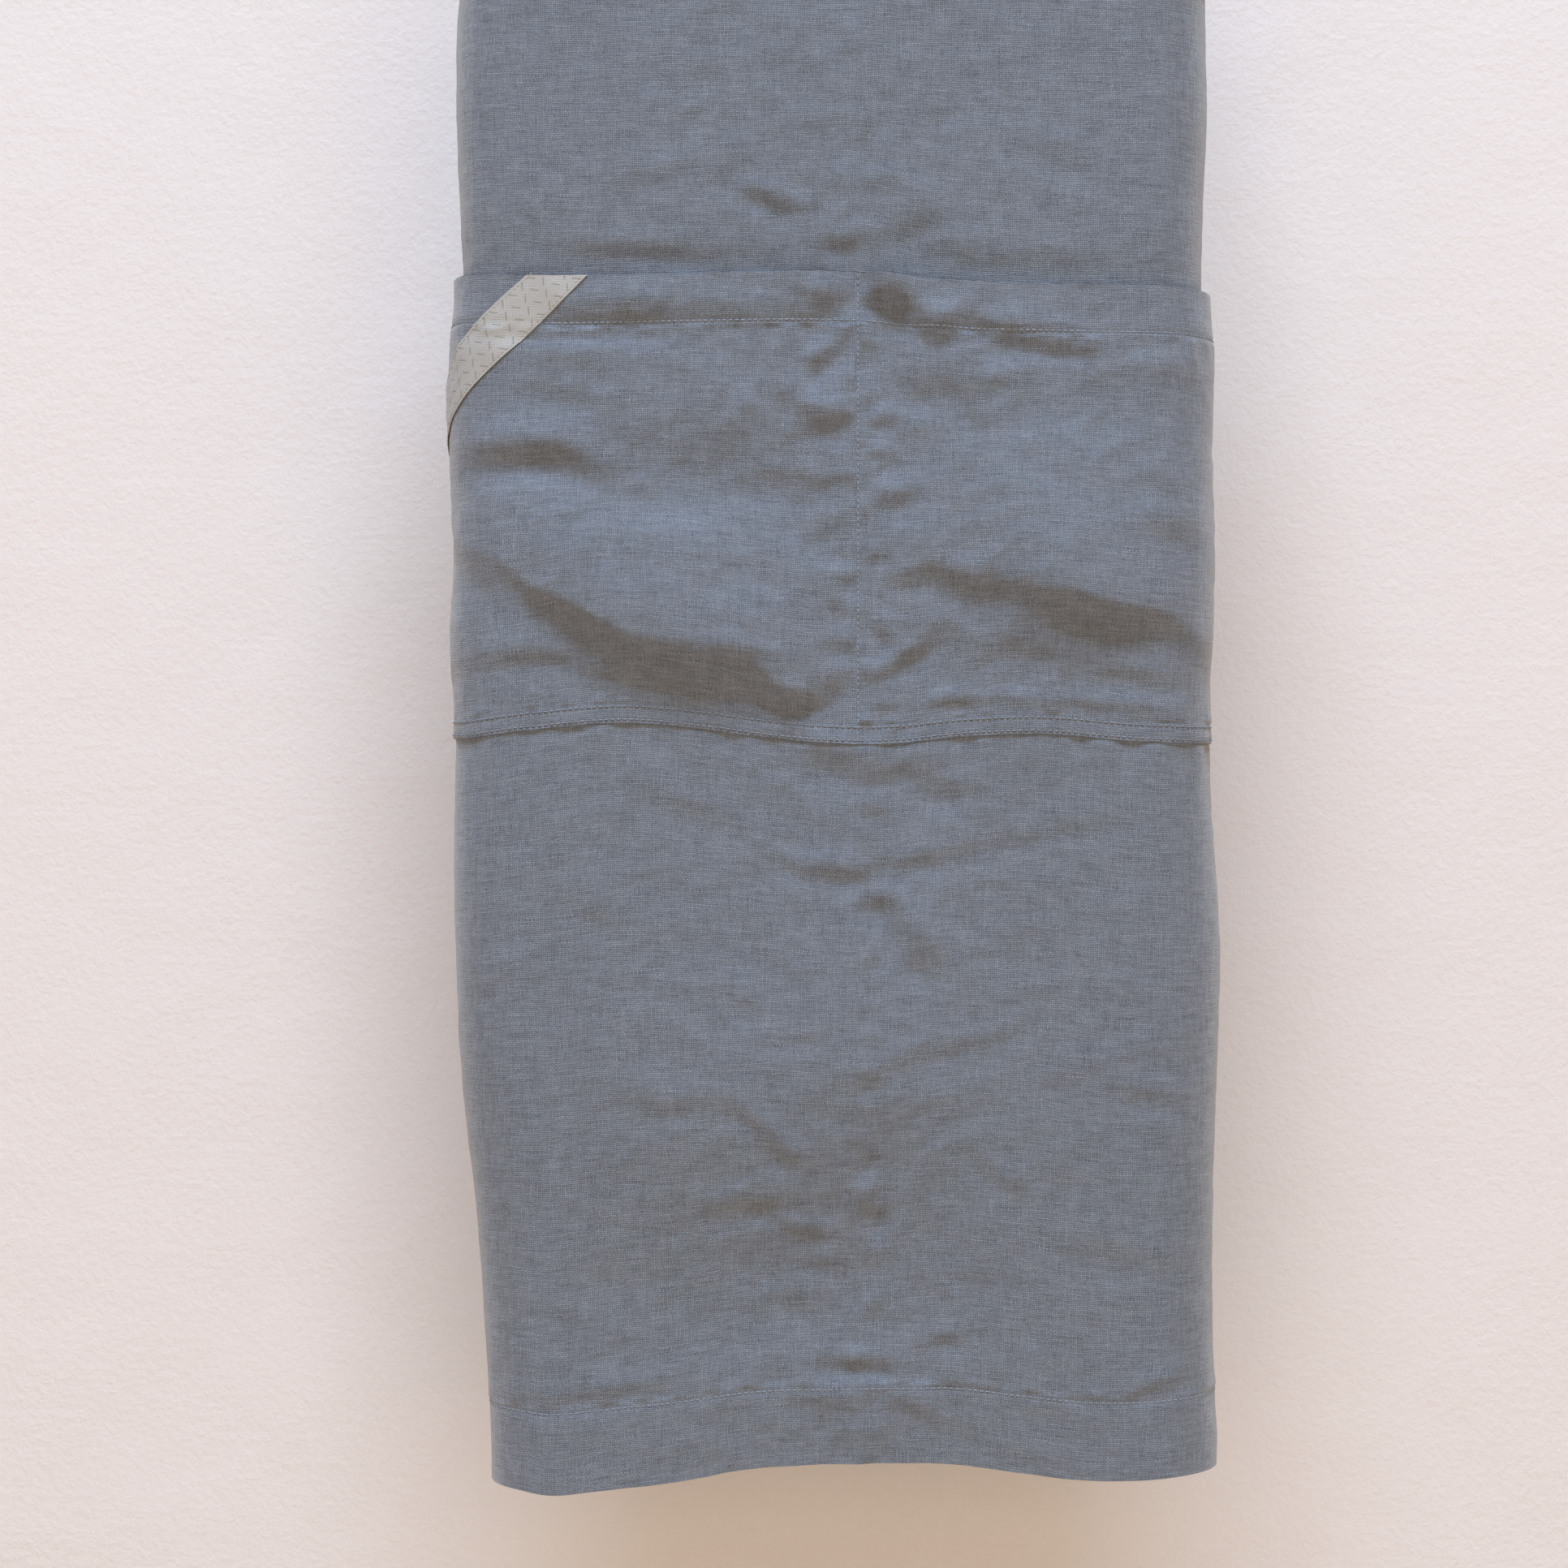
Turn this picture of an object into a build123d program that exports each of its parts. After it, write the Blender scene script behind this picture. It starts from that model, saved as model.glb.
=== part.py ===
from build123d import *
import os
from math import atan2, cos, degrees, pi, radians, sin, sqrt

# Cross-back linen smock apron, hung by its crossed straps over a peg.
# Millimetres. +X is to the right as seen from the front, the front faces -Y, and +Z is up.
# The origin is the middle of the peg that the straps rest on. Heights are above the bottom hem.

# Body
BODY_LENGTH = 950.0        # bottom hem to the top of the bib
STRAP_RISE = 208.0         # top of the bib to the peg's middle
FRONT_WIDTH = {"left": 162.0, "right": 142.0}   # centre crease to the middle of each side fold
WING_WIDTH = {"left": 140.0, "right": 130.0}    # side fold to the back edge
FOLD_RADIUS = 34.0         # side fold, to the middle of the cloth
ARMHOLE_HEIGHT = 748.0     # lowest point of the armholes
BIB_WIDTH = 230.0

# Cloth and hems
CLOTH = 1.5                # one ply with its nap and creases
FOLDED = 2.4               # a turned hem or a bound edge
HEM_HEIGHT = 40.0
BIB_HEM_HEIGHT = 25.0
BACK_HEM_WIDTH = 20.0
BINDING_WIDTH = 10.0

# Pocket
POCKET_BOTTOM = 365.0
POCKET_HEIGHT = 227.0
POCKET_BAND = 25.0         # top hem of the pocket
SEAM_HEIGHT = 9.0          # between the two stitch rows of the bottom seam
CENTRE_SEAM_WIDTH = 6.0
POCKET_GAP = 8.0           # how far the cloth stands off the body
POCKET_RAMP = 11.0         # how fast it gets there from a seam
POCKET_SIDE_GAP = 3.7      # where it goes round the side fold
POCKET_RETURN = 25.0       # what lies flat behind, past the side fold
TAPE_WIDTH = 20.0
TAPE_THICKNESS = 0.8
TAPE_START = 13.0          # middle of the tape's upper end, inwards from the side fold

# Straps
STRAP_WIDTH = 40.0
STRAP_THICKNESS = 1.8
STRAP_END = 60.0           # sewn to the back edge of the other side
STRAP_INSET = 3.0
STRAP_RISER = 8.0          # stays upright this far above the bib before it leans in
STRAP_SPACING = 6.0        # between the two straps, side by side on the peg
PEG_RADIUS = 10.0

# Thread
THREAD = 0.4
STITCH_LINE = 1.2
STITCH_INSET = 4.0

CLEAR = 0.3                # between pieces that move apart

PEG_HEIGHT = BODY_LENGTH + STRAP_RISE
POCKET_TOP = POCKET_BOTTOM + POCKET_HEIGHT
BODY_FACE = FOLD_RADIUS + CLOTH / 2         # outer face of the body cloth
POCKET_FACE = BODY_FACE + POCKET_GAP        # inner face of the pocket cloth
SIDE_SIGN = {"left": -1, "right": 1}
SIDES = ("left", "right")

parts = {}


def level(height):
    """Z of a height above the bottom hem."""
    return height - PEG_HEIGHT


def fold_x(side):
    return SIDE_SIGN[side] * FRONT_WIDTH[side]


def plate(x0, x1, y0, y1, height0, height1):
    """A flat piece between two corners, in any order."""
    size = (abs(x1 - x0), abs(y1 - y0), height1 - height0)
    middle = ((x0 + x1) / 2, (y0 + y1) / 2, level((height0 + height1) / 2))
    return Pos(*middle) * Box(*size)


def upright(sketch, thickness, middle=FOLD_RADIUS):
    """An outline in X and Z, given the thickness of cloth in the front of the body."""
    return extrude(Plane.XZ.offset(middle - thickness / 2) * sketch, amount=thickness)


def outline(x0, x1, height0, height1):
    """A rectangle in X and Z."""
    centre = Pos((x0 + x1) / 2, level((height0 + height1) / 2))
    return centre * Rectangle(x1 - x0, height1 - height0)


def armhole(side, grow=0.0):
    """The ellipse whose lower inner quarter is the armhole's edge."""
    reach = FRONT_WIDTH[side] - BIB_WIDTH / 2
    drop = BODY_LENGTH - ARMHOLE_HEIGHT
    return Pos(fold_x(side), level(BODY_LENGTH)) * Ellipse(reach + grow, drop + grow)


def half_round(side, outer, inner, height0, height1, centre_y=0.0):
    """A strip of cloth round a side fold: outer and inner are its half sizes in X and Y."""
    ring = Ellipse(*outer) - Ellipse(*inner)
    reach, depth = outer
    half = Pos(SIDE_SIGN[side] * reach / 2, 0) * Rectangle(reach, 2 * depth)
    base = Plane.XY.offset(level(height0))
    return extrude(base * (Pos(fold_x(side), centre_y) * (ring & half)), amount=height1 - height0)


def round_fold(side, thickness, height0, height1):
    outer, inner = FOLD_RADIUS + thickness / 2, FOLD_RADIUS - thickness / 2
    return half_round(side, (outer, outer), (inner, inner), height0, height1)


def faceted(inner, outer):
    """A closed solid of flat triangles between two grids of points, given row by row."""
    faces = []

    def quad(a, b, c, d):
        faces.append(Face(Wire.make_polygon([a, b, c])))
        faces.append(Face(Wire.make_polygon([a, c, d])))

    def sheet(rows):
        for low, high in zip(rows, rows[1:]):
            for i in range(len(low) - 1):
                quad(low[i], low[i + 1], high[i + 1], high[i])

    sheet(inner)
    sheet(outer)
    sheet([inner[0], outer[0]])
    sheet([inner[-1], outer[-1]])
    sheet([[row[0] for row in grid] for grid in (inner, outer)])
    sheet([[row[-1] for row in grid] for grid in (inner, outer)])
    return Solid(Shell(faces))


def ribbon(rows, width, thickness):
    """A flat strap along rows of (middle, direction of its width). Its two ends are cut as the rows say."""
    inner, outer = [], []
    for i, (middle, across) in enumerate(rows):
        along = rows[min(i + 1, len(rows) - 1)][0] - rows[max(i - 1, 0)][0]
        if 0 < i < len(rows) - 1:
            across = across - along * (across.dot(along) / along.dot(along))
        across = across.normalized() * (width / 2)
        out = along.cross(across).normalized() * (thickness / 2)
        inner.append([middle - across - out, middle + across - out])
        outer.append([middle - across + out, middle + across + out])
    return faceted(inner, outer)


# Front of the body: panel, bottom hem, bib hem and the bound armholes.
front = outline(fold_x("left"), fold_x("right"), HEM_HEIGHT, BODY_LENGTH - BIB_HEM_HEIGHT)
bib_hem = outline(fold_x("left"), fold_x("right"), BODY_LENGTH - BIB_HEM_HEIGHT, BODY_LENGTH)
for side in SIDES:
    front -= armhole(side, BINDING_WIDTH)
    bib_hem -= armhole(side, BINDING_WIDTH)
parts["front_panel"] = upright(front, CLOTH)
parts["bib_top_hem"] = upright(bib_hem, FOLDED)
parts["bottom_hem_front"] = upright(outline(fold_x("left"), fold_x("right"), 0, HEM_HEIGHT), FOLDED)
for side in SIDES:
    inner_x = SIDE_SIGN[side] * (BIB_WIDTH / 2 - BINDING_WIDTH)
    low_x, high_x = sorted((fold_x(side), inner_x))
    quarter = outline(low_x, high_x, ARMHOLE_HEIGHT - BINDING_WIDTH, BODY_LENGTH)
    band = (armhole(side, BINDING_WIDTH) - armhole(side)) & quarter
    parts[f"{side}_armhole_binding"] = upright(band, FOLDED)

# Side folds: the cloth that turns from the front to the back.
for side in SIDES:
    below_binding = ARMHOLE_HEIGHT - BINDING_WIDTH
    parts[f"{side}_side_fold"] = round_fold(side, CLOTH, HEM_HEIGHT, below_binding)
    parts[f"{side}_hem_fold"] = round_fold(side, FOLDED, 0, HEM_HEIGHT)
    parts[f"{side}_fold_binding"] = round_fold(side, FOLDED, below_binding, ARMHOLE_HEIGHT)

# Back wings: panel, hems along the back edge and the bottom, and the bound top.
for side in SIDES:
    inward = -SIDE_SIGN[side]
    start = fold_x(side) + inward * CLEAR
    hem_line = fold_x(side) + inward * (WING_WIDTH[side] - BACK_HEM_WIDTH)
    back_edge = fold_x(side) + inward * WING_WIDTH[side]
    thin = (FOLD_RADIUS - CLOTH / 2, FOLD_RADIUS + CLOTH / 2)
    thick = (FOLD_RADIUS - FOLDED / 2, FOLD_RADIUS + FOLDED / 2)
    top = ARMHOLE_HEIGHT - BINDING_WIDTH
    parts[f"{side}_wing_panel"] = plate(start, hem_line, *thin, HEM_HEIGHT, top)
    parts[f"{side}_wing_bottom_hem"] = plate(start, hem_line, *thick, 0, HEM_HEIGHT)
    parts[f"{side}_wing_top_binding"] = plate(start, hem_line, *thick, top, ARMHOLE_HEIGHT)
    parts[f"{side}_wing_back_hem"] = plate(hem_line, back_edge, *thick, 0, ARMHOLE_HEIGHT)
    behind = (BODY_FACE, BODY_FACE + FOLDED)
    return_edge = fold_x(side) + inward * POCKET_RETURN
    parts[f"{side}_pocket_side_hem"] = plate(start, return_edge, *behind, POCKET_BOTTOM, POCKET_TOP)

# Pocket seams, sewn flat to the front.
on_front = (-BODY_FACE - FOLDED, -BODY_FACE)
half_seam = CENTRE_SEAM_WIDTH / 2
seam_top = POCKET_BOTTOM + SEAM_HEIGHT
parts["pocket_bottom_seam"] = plate(fold_x("left"), fold_x("right"), *on_front, POCKET_BOTTOM, seam_top)
parts["pocket_centre_seam"] = plate(-half_seam, half_seam, *on_front, seam_top, POCKET_TOP)
tack = (-BODY_FACE - FOLDED - THREAD, -BODY_FACE - FOLDED)
parts["pocket_bartack"] = plate(-half_seam, half_seam, *tack, POCKET_TOP - SEAM_HEIGHT, POCKET_TOP)


def pocket_shell(side, thickness):
    """The pocket cloth: it rises from the centre and bottom seams and then runs flat to the side fold."""
    sign = SIDE_SIGN[side]
    over_top = POCKET_TOP + POCKET_RAMP

    def level_outline(inset):
        inner = sign * (half_seam + CLEAR + inset)
        low_x, high_x = sorted((inner, fold_x(side)))
        return outline(low_x, high_x, seam_top + CLEAR + inset, over_top)

    def mound(inset, depth):
        base = Plane.XZ.offset(BODY_FACE + CLEAR)
        crown = Plane.XZ.offset(BODY_FACE + depth)
        return loft([base * level_outline(inset), crown * level_outline(inset + POCKET_RAMP)], ruled=True)

    return mound(0, POCKET_GAP + thickness) - mound(thickness, POCKET_GAP)


# Pocket compartments: cloth and the turned band along the mouth.
band_line = POCKET_TOP - POCKET_BAND
for side in SIDES:
    span = (fold_x("left"), fold_x("right"), -BODY_FACE, -2 * POCKET_FACE)
    parts[f"{side}_pocket_panel"] = pocket_shell(side, CLOTH) & plate(*span, POCKET_BOTTOM, band_line)
    parts[f"{side}_pocket_top_hem"] = pocket_shell(side, FOLDED) & plate(*span, band_line, POCKET_TOP)

# Pocket returns: the same cloth, round the side fold.
front_y = -POCKET_FACE
back_y = BODY_FACE + CLEAR
return_y = (front_y + back_y) / 2
inner_size = (BODY_FACE + POCKET_SIDE_GAP, (back_y - front_y) / 2)
outer_size = (inner_size[0] + CLOTH, inner_size[1] + CLOTH)
for side in SIDES:
    parts[f"{side}_pocket_return"] = half_round(
        side, outer_size, inner_size, POCKET_BOTTOM, POCKET_TOP, return_y)

# Corner tape: from the pocket's mouth at 45 degrees down to its side edge, round the left fold.
tape_lift = CLEAR + FOLDED - CLOTH
tape_size = (outer_size[0] + tape_lift, outer_size[1] + tape_lift)
round_length = pi * sum(tape_size) / 2
tape_end = round_length + POCKET_RETURN
tape_half = TAPE_WIDTH / sqrt(2)


def on_pocket(distance, height, lift):
    """A point on the left side, by its distance round from where the fold begins."""
    turn = min(max(distance / round_length, 0.0), 1.0) * pi
    reach, depth = tape_size[0] + lift, tape_size[1] + lift
    before, after = min(distance, 0.0), max(distance - round_length, 0.0)
    x = fold_x("left") - reach * sin(turn) - before + after
    return Vector(x, return_y - depth * cos(turn), level(height))


tape_columns, tape_step = 4, TAPE_WIDTH / 3
tape_inner, tape_outer = [], []
tape_drop = 0.0
while tape_drop < tape_end + TAPE_START + tape_half - STITCH_LINE:
    near = tape_drop - TAPE_START - tape_half
    far = min(near + 2 * tape_half, tape_end)
    across = [far + (near - far) * i / tape_columns for i in range(tape_columns + 1)]
    tape_inner.append([on_pocket(distance, POCKET_TOP - tape_drop, 0) for distance in across])
    tape_outer.append([on_pocket(distance, POCKET_TOP - tape_drop, TAPE_THICKNESS) for distance in across])
    tape_drop += tape_step
parts["corner_tape"] = faceted(tape_inner, tape_outer)

# Straps: each runs from the bib over the peg to the back edge of the other side.
wrap_radius = PEG_RADIUS + STRAP_THICKNESS / 2
strap_depth = FOLD_RADIUS - FOLDED / 2 - STRAP_THICKNESS / 2
peg_offset = (STRAP_WIDTH + STRAP_SPACING) / 2
for side in SIDES:
    sign = SIDE_SIGN[side]
    other = "right" if side == "left" else "left"
    foot = Vector(sign * (BIB_WIDTH / 2 - STRAP_WIDTH / 2), -strap_depth, level(BODY_LENGTH + STRAP_RISER))
    end_x = fold_x(other) + sign * (WING_WIDTH[other] - STRAP_WIDTH / 2 - STRAP_INSET)
    tail = Vector(end_x, strap_depth - CLEAR, level(ARMHOLE_HEIGHT - STRAP_INSET))
    peg_y = sign * peg_offset
    front_angle = 180 - degrees(atan2(abs(foot.X), -foot.Z))
    back_angle = degrees(atan2(abs(tail.X), -tail.Z))

    def on_peg(angle):
        """Left strap: from the peg's left over its top to its right. The right strap is the mirror."""
        return Vector(-sign * wrap_radius * cos(radians(angle)), peg_y, wrap_radius * sin(radians(angle)))

    def twisted(start, end, share, from_y):
        """Along a leg, with the strap's width turning from the peg's direction to the cloth's."""
        turn = share if from_y else 1 - share
        return start + (end - start) * share, Vector(turn * sign, 1 - turn, 0)

    steps = 8
    bib_top = foot - Vector(0, 0, STRAP_RISER)
    sewn = bib_top - Vector(0, 0, BIB_HEM_HEIGHT)
    rows = [(point, Vector(sign, 0, 0)) for point in (sewn, bib_top, foot)]
    first = on_peg(front_angle)
    rows += [twisted(foot, first, i / steps, False) for i in range(1, steps)]
    over = [front_angle + (back_angle - front_angle) * i / steps for i in range(steps + 1)]
    rows += [(on_peg(angle), Vector(0, 1, 0)) for angle in over]
    parts[f"{side}_strap"] = ribbon(rows, STRAP_WIDTH, STRAP_THICKNESS)

    last = on_peg(back_angle) - Vector(0, 0, CLEAR)
    rows = [twisted(last, tail, i / steps, True) for i in range(steps + 1)]
    parts[f"{side}_strap_back_leg"] = ribbon(rows, STRAP_WIDTH, STRAP_THICKNESS)
    end_top = ARMHOLE_HEIGHT - STRAP_INSET - CLEAR
    sewn_y = (strap_depth - STRAP_THICKNESS / 2, strap_depth + STRAP_THICKNESS / 2)
    parts[f"{side}_strap_end"] = plate(
        end_x - STRAP_WIDTH / 2, end_x + STRAP_WIDTH / 2, *sewn_y, end_top - STRAP_END, end_top)


def box_stitch(middle_x, height0, height1, y0, y1):
    """A rectangle of stitching that holds a strap's end."""
    reach = STRAP_WIDTH / 2 - STITCH_INSET
    ring = plate(middle_x - reach, middle_x + reach, y0, y1, height0, height1)
    inside = reach - STITCH_LINE
    hole = plate(middle_x - inside, middle_x + inside, y0, y1, height0 + STITCH_LINE, height1 - STITCH_LINE)
    return ring - hole


# Box stitches: on the front of the bib, and on the strap ends inside the wings.
bib_face = FOLD_RADIUS + FOLDED / 2
bib_stitches = []
for side in SIDES:
    middle_x = SIDE_SIGN[side] * (BIB_WIDTH / 2 - STRAP_WIDTH / 2)
    low, high = BODY_LENGTH - BIB_HEM_HEIGHT + STITCH_INSET, BODY_LENGTH - STITCH_INSET
    bib_stitches.append(box_stitch(middle_x, low, high, -bib_face - THREAD, -bib_face))
    end_x = parts[f"{side}_strap_end"].center().X
    end_face = strap_depth - STRAP_THICKNESS / 2
    end_top = ARMHOLE_HEIGHT - STRAP_INSET - CLEAR
    low, high = end_top - STRAP_END + STITCH_INSET, end_top - STITCH_INSET
    parts[f"{side}_strap_end_stitches"] = box_stitch(end_x, low, high, end_face - THREAD, end_face)
parts["bib_strap_stitches"] = Compound(bib_stitches)

os.makedirs("parts", exist_ok=True)
for name, shape in parts.items():
    export_step(shape, f"parts/{name}.step")
print(len(parts), "parts")
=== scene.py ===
import bpy
import numpy as np
from math import pi, radians
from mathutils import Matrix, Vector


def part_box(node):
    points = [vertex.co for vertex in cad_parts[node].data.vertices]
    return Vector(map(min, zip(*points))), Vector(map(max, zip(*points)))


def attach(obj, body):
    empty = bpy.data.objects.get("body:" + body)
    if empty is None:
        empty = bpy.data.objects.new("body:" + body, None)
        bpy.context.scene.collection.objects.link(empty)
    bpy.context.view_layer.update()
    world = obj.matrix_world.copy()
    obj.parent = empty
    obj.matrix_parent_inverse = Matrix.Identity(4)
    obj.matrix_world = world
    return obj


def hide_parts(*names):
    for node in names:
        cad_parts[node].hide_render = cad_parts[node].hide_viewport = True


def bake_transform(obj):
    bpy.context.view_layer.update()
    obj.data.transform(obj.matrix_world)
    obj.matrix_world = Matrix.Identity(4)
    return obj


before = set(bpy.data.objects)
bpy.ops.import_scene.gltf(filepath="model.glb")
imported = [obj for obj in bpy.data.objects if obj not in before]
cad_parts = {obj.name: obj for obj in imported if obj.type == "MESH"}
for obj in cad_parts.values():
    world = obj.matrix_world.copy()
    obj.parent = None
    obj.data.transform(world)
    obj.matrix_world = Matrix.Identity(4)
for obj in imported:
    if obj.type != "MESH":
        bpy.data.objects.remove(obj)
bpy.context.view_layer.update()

# ---------------------------------------------------------------------------------------------
# Body cloth. One width of washed, blue-grey linen: the front, both soft side folds and the wings
# that go behind. It is made in two halves that meet at the pressed crease down the middle.
# ---------------------------------------------------------------------------------------------
MM = 0.001
SIGN = {"left": -1, "right": 1}
OTHER = {"left": "right", "right": "left"}
SIDES = ("left", "right")
HEM_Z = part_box("bottom_hem_front")[0].z


def cad_mm(node):
    """A node's lowest and highest corners, in millimetres, with Z as a height above the hem."""
    return [(np.array(corner) - np.array([0, 0, HEM_Z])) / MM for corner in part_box(node)]


FRONT = {"left": -cad_mm("front_panel")[0][0], "right": cad_mm("front_panel")[1][0]}
RADIUS = (cad_mm("left_side_fold")[1][1] - cad_mm("left_wing_panel")[1][1]
          + cad_mm("left_wing_panel")[0][1] / 2 + cad_mm("left_wing_panel")[1][1] / 2)
WING = {}
for side, corner in (("left", 1), ("right", 0)):
    WING[side] = FRONT[side] - SIGN[side] * cad_mm(f"{side}_wing_back_hem")[corner][0]
HEM = cad_mm("bottom_hem_front")[1][2]
BACK_HEM = np.ptp([cad_mm("left_wing_back_hem")[i][0] for i in (0, 1)])
ARMHOLE = cad_mm("left_wing_back_hem")[1][2]
BIB_TOP = cad_mm("bib_top_hem")[1][2]
BINDING = 10.0              # the armhole binding's width
BIB_HALF = BINDING - cad_mm("left_armhole_binding")[1][0]
POCKET_LOW = cad_mm("pocket_bottom_seam")[0][2]
POCKET_TOP = cad_mm("pocket_centre_seam")[1][2]
CLOTH = 0.7                 # one ply of linen
BIB_HEM = 25                # the turned top of the bib
STITCH_IN = 1.6             # from a turned edge to its stitch row
ROUND = RADIUS * pi         # cloth round one side fold


def smooth(t):
    t = np.clip(t, 0, 1)
    return t * t * (3 - 2 * t)


def curve(x, *knots):
    """A smooth line through (x, value) knots, level beyond the first and the last."""
    kx, kv = np.array(knots, float).T
    slope = np.gradient(kv, kx)
    slope[0] = slope[-1] = 0
    i = np.clip(np.searchsorted(kx, x) - 1, 0, len(kx) - 2)
    wide = kx[i + 1] - kx[i]
    t = np.clip((x - kx[i]) / wide, 0, 1)
    return ((2 * t ** 3 - 3 * t ** 2 + 1) * kv[i] + (t ** 3 - 2 * t ** 2 + t) * wide * slope[i]
            + (3 * t ** 2 - 2 * t ** 3) * kv[i + 1] + (t ** 3 - t ** 2) * wide * slope[i + 1])


def hill(d, width):
    return np.exp(-(d / width) ** 2)


def ripples(u, h, size, seed, tall=1.0, count=26):
    """Soft uneven waves of about one size, in millimetres, with a spread of 1."""
    rng = np.random.default_rng(seed)
    total = np.zeros(np.broadcast(u, h).shape)
    for _ in range(count):
        heading, phase = rng.uniform(0, 2 * pi), rng.uniform(0, 2 * pi)
        length = size * rng.uniform(0.7, 1.6)
        total += np.cos(2 * pi * (u * np.cos(heading) + h * np.sin(heading) / tall) / length + phase)
    return total / np.sqrt(count / 2)


def creases(u, h, size, seed, tall=1.0):
    """Crumpled cloth: flats that meet in narrow ridges."""
    return -np.sqrt(ripples(u, h, size, seed, tall) ** 2 + 0.04)


def crest(u, h, line, depth, above, below):
    """A sagging fold: it stands out most along a line and falls away above and below."""
    d = h - line
    return depth * np.where(d > 0, hill(d, above), hill(d, below))


def turned(u, h, middle, heading):
    """Distances along and across a line through a middle point."""
    du, dh = u - middle[0], h - middle[1]
    c, s = np.cos(radians(heading)), np.sin(radians(heading))
    return du * c + dh * s, dh * c - du * s


def diagonal(u, h, middle, heading, length, width, depth):
    """One soft crease round a middle point."""
    along, across = turned(u, h, middle, heading)
    return depth * hill(along, length) * hill(across, width)


def drawn_in(d, depth, width):
    """Cloth that stands out above a line and is drawn in below it, by depth in all."""
    return 0.5 * depth * (d / width) * np.exp(0.5 - (d / width) ** 2 / 2)


def tuck(u, h, x, height, heading, length, depth, width):
    """A short soft fold: the cloth hangs out above its line and falls in under it."""
    along, across = turned(u, h, (x, height), heading)
    return hill(along, length) * drawn_in(across, depth, width)


def stitched(d, depth):
    """The groove that a stitch row pulls into cloth, and the ridge beside it."""
    return -depth * hill(d, 1.1) + 0.55 * depth * hill(d - 3.2, 1.8) + 0.3 * depth * hill(d + 3.0, 1.6)


def puckers(along, d, reach, size, seed):
    """Short gathers that run away from a stitch row on the side where d is positive."""
    wave = ripples(along, d * 0.25, size, seed, count=16)
    return wave * np.where(d > 0, smooth(d / 2.5) * np.exp(-d / reach), 0)


def fold_shift(side, h):
    """How far each side fold wanders from upright, down the garment."""
    if side == "left":
        return 3.5 - 18.5 * (1 - smooth(h / 240)) + 0.9 * ripples(h * 0, h, 120, 31)
    wander = curve(h, (0, 2.4), (290, 2.8), (357, 0), (600, -4), (760, -3))
    return 3.5 + wander + 0.9 * ripples(h * 0, h, 130, 32)


def droop(u, h):
    """How far the cloth hangs below or above level along its hem and its pocket's edges."""
    hem = curve(u, (-197, -6.5), (-168, -6.8), (-151, -8.6), (-129, -6.8), (-85, -2.2), (-55, 2.8),
                (-20, 5.4), (10, 6.0), (43, 6.8), (81, 2.4), (106, -0.6), (140, -1.0), (160, 0.6),
                (185, 1.5))
    low = curve(u, (-200, 0.0), (-163, 4.0), (-111, 7.6), (-75, 4.4), (-47, 0.6), (-15, -2.4),
                (10, -2.8), (57, 1.2), (90, 2.2), (137, -1.4), (176, -2.5))
    high = curve(u, (-205, 3.5), (-170, 1.0), (-95, 1.6), (-39, 2.4), (5, 2.4), (24, 0.0),
                 (48, -1.8), (97, -3.6), (155, -4.0), (180, -4.5))
    to_low = np.clip(h / POCKET_LOW, 0, 1)
    to_high = smooth((h - POCKET_LOW) / (POCKET_TOP - POCKET_LOW))
    return (hem + (low - hem) * to_low + (high - low) * to_high) * (1 - smooth((h - POCKET_TOP) / 190))


def place(side, s, h, lift):
    """The point at distance s from the middle crease and height h, lifted off the plain sheet."""
    sign, front = SIGN[side], FRONT[side] + fold_shift(side, h)
    past = s - front
    turn = np.clip(past / RADIUS, 0, pi)
    beyond = np.maximum(past - ROUND, 0)
    x = sign * (np.minimum(s, front) + (RADIUS + lift) * np.sin(turn) - beyond)
    y = -(RADIUS + lift) * np.cos(turn)
    z = h + droop(sign * np.minimum(s, front + RADIUS), h)
    return np.stack([x * MM, y * MM, z * MM + HEM_Z], -1)


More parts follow.
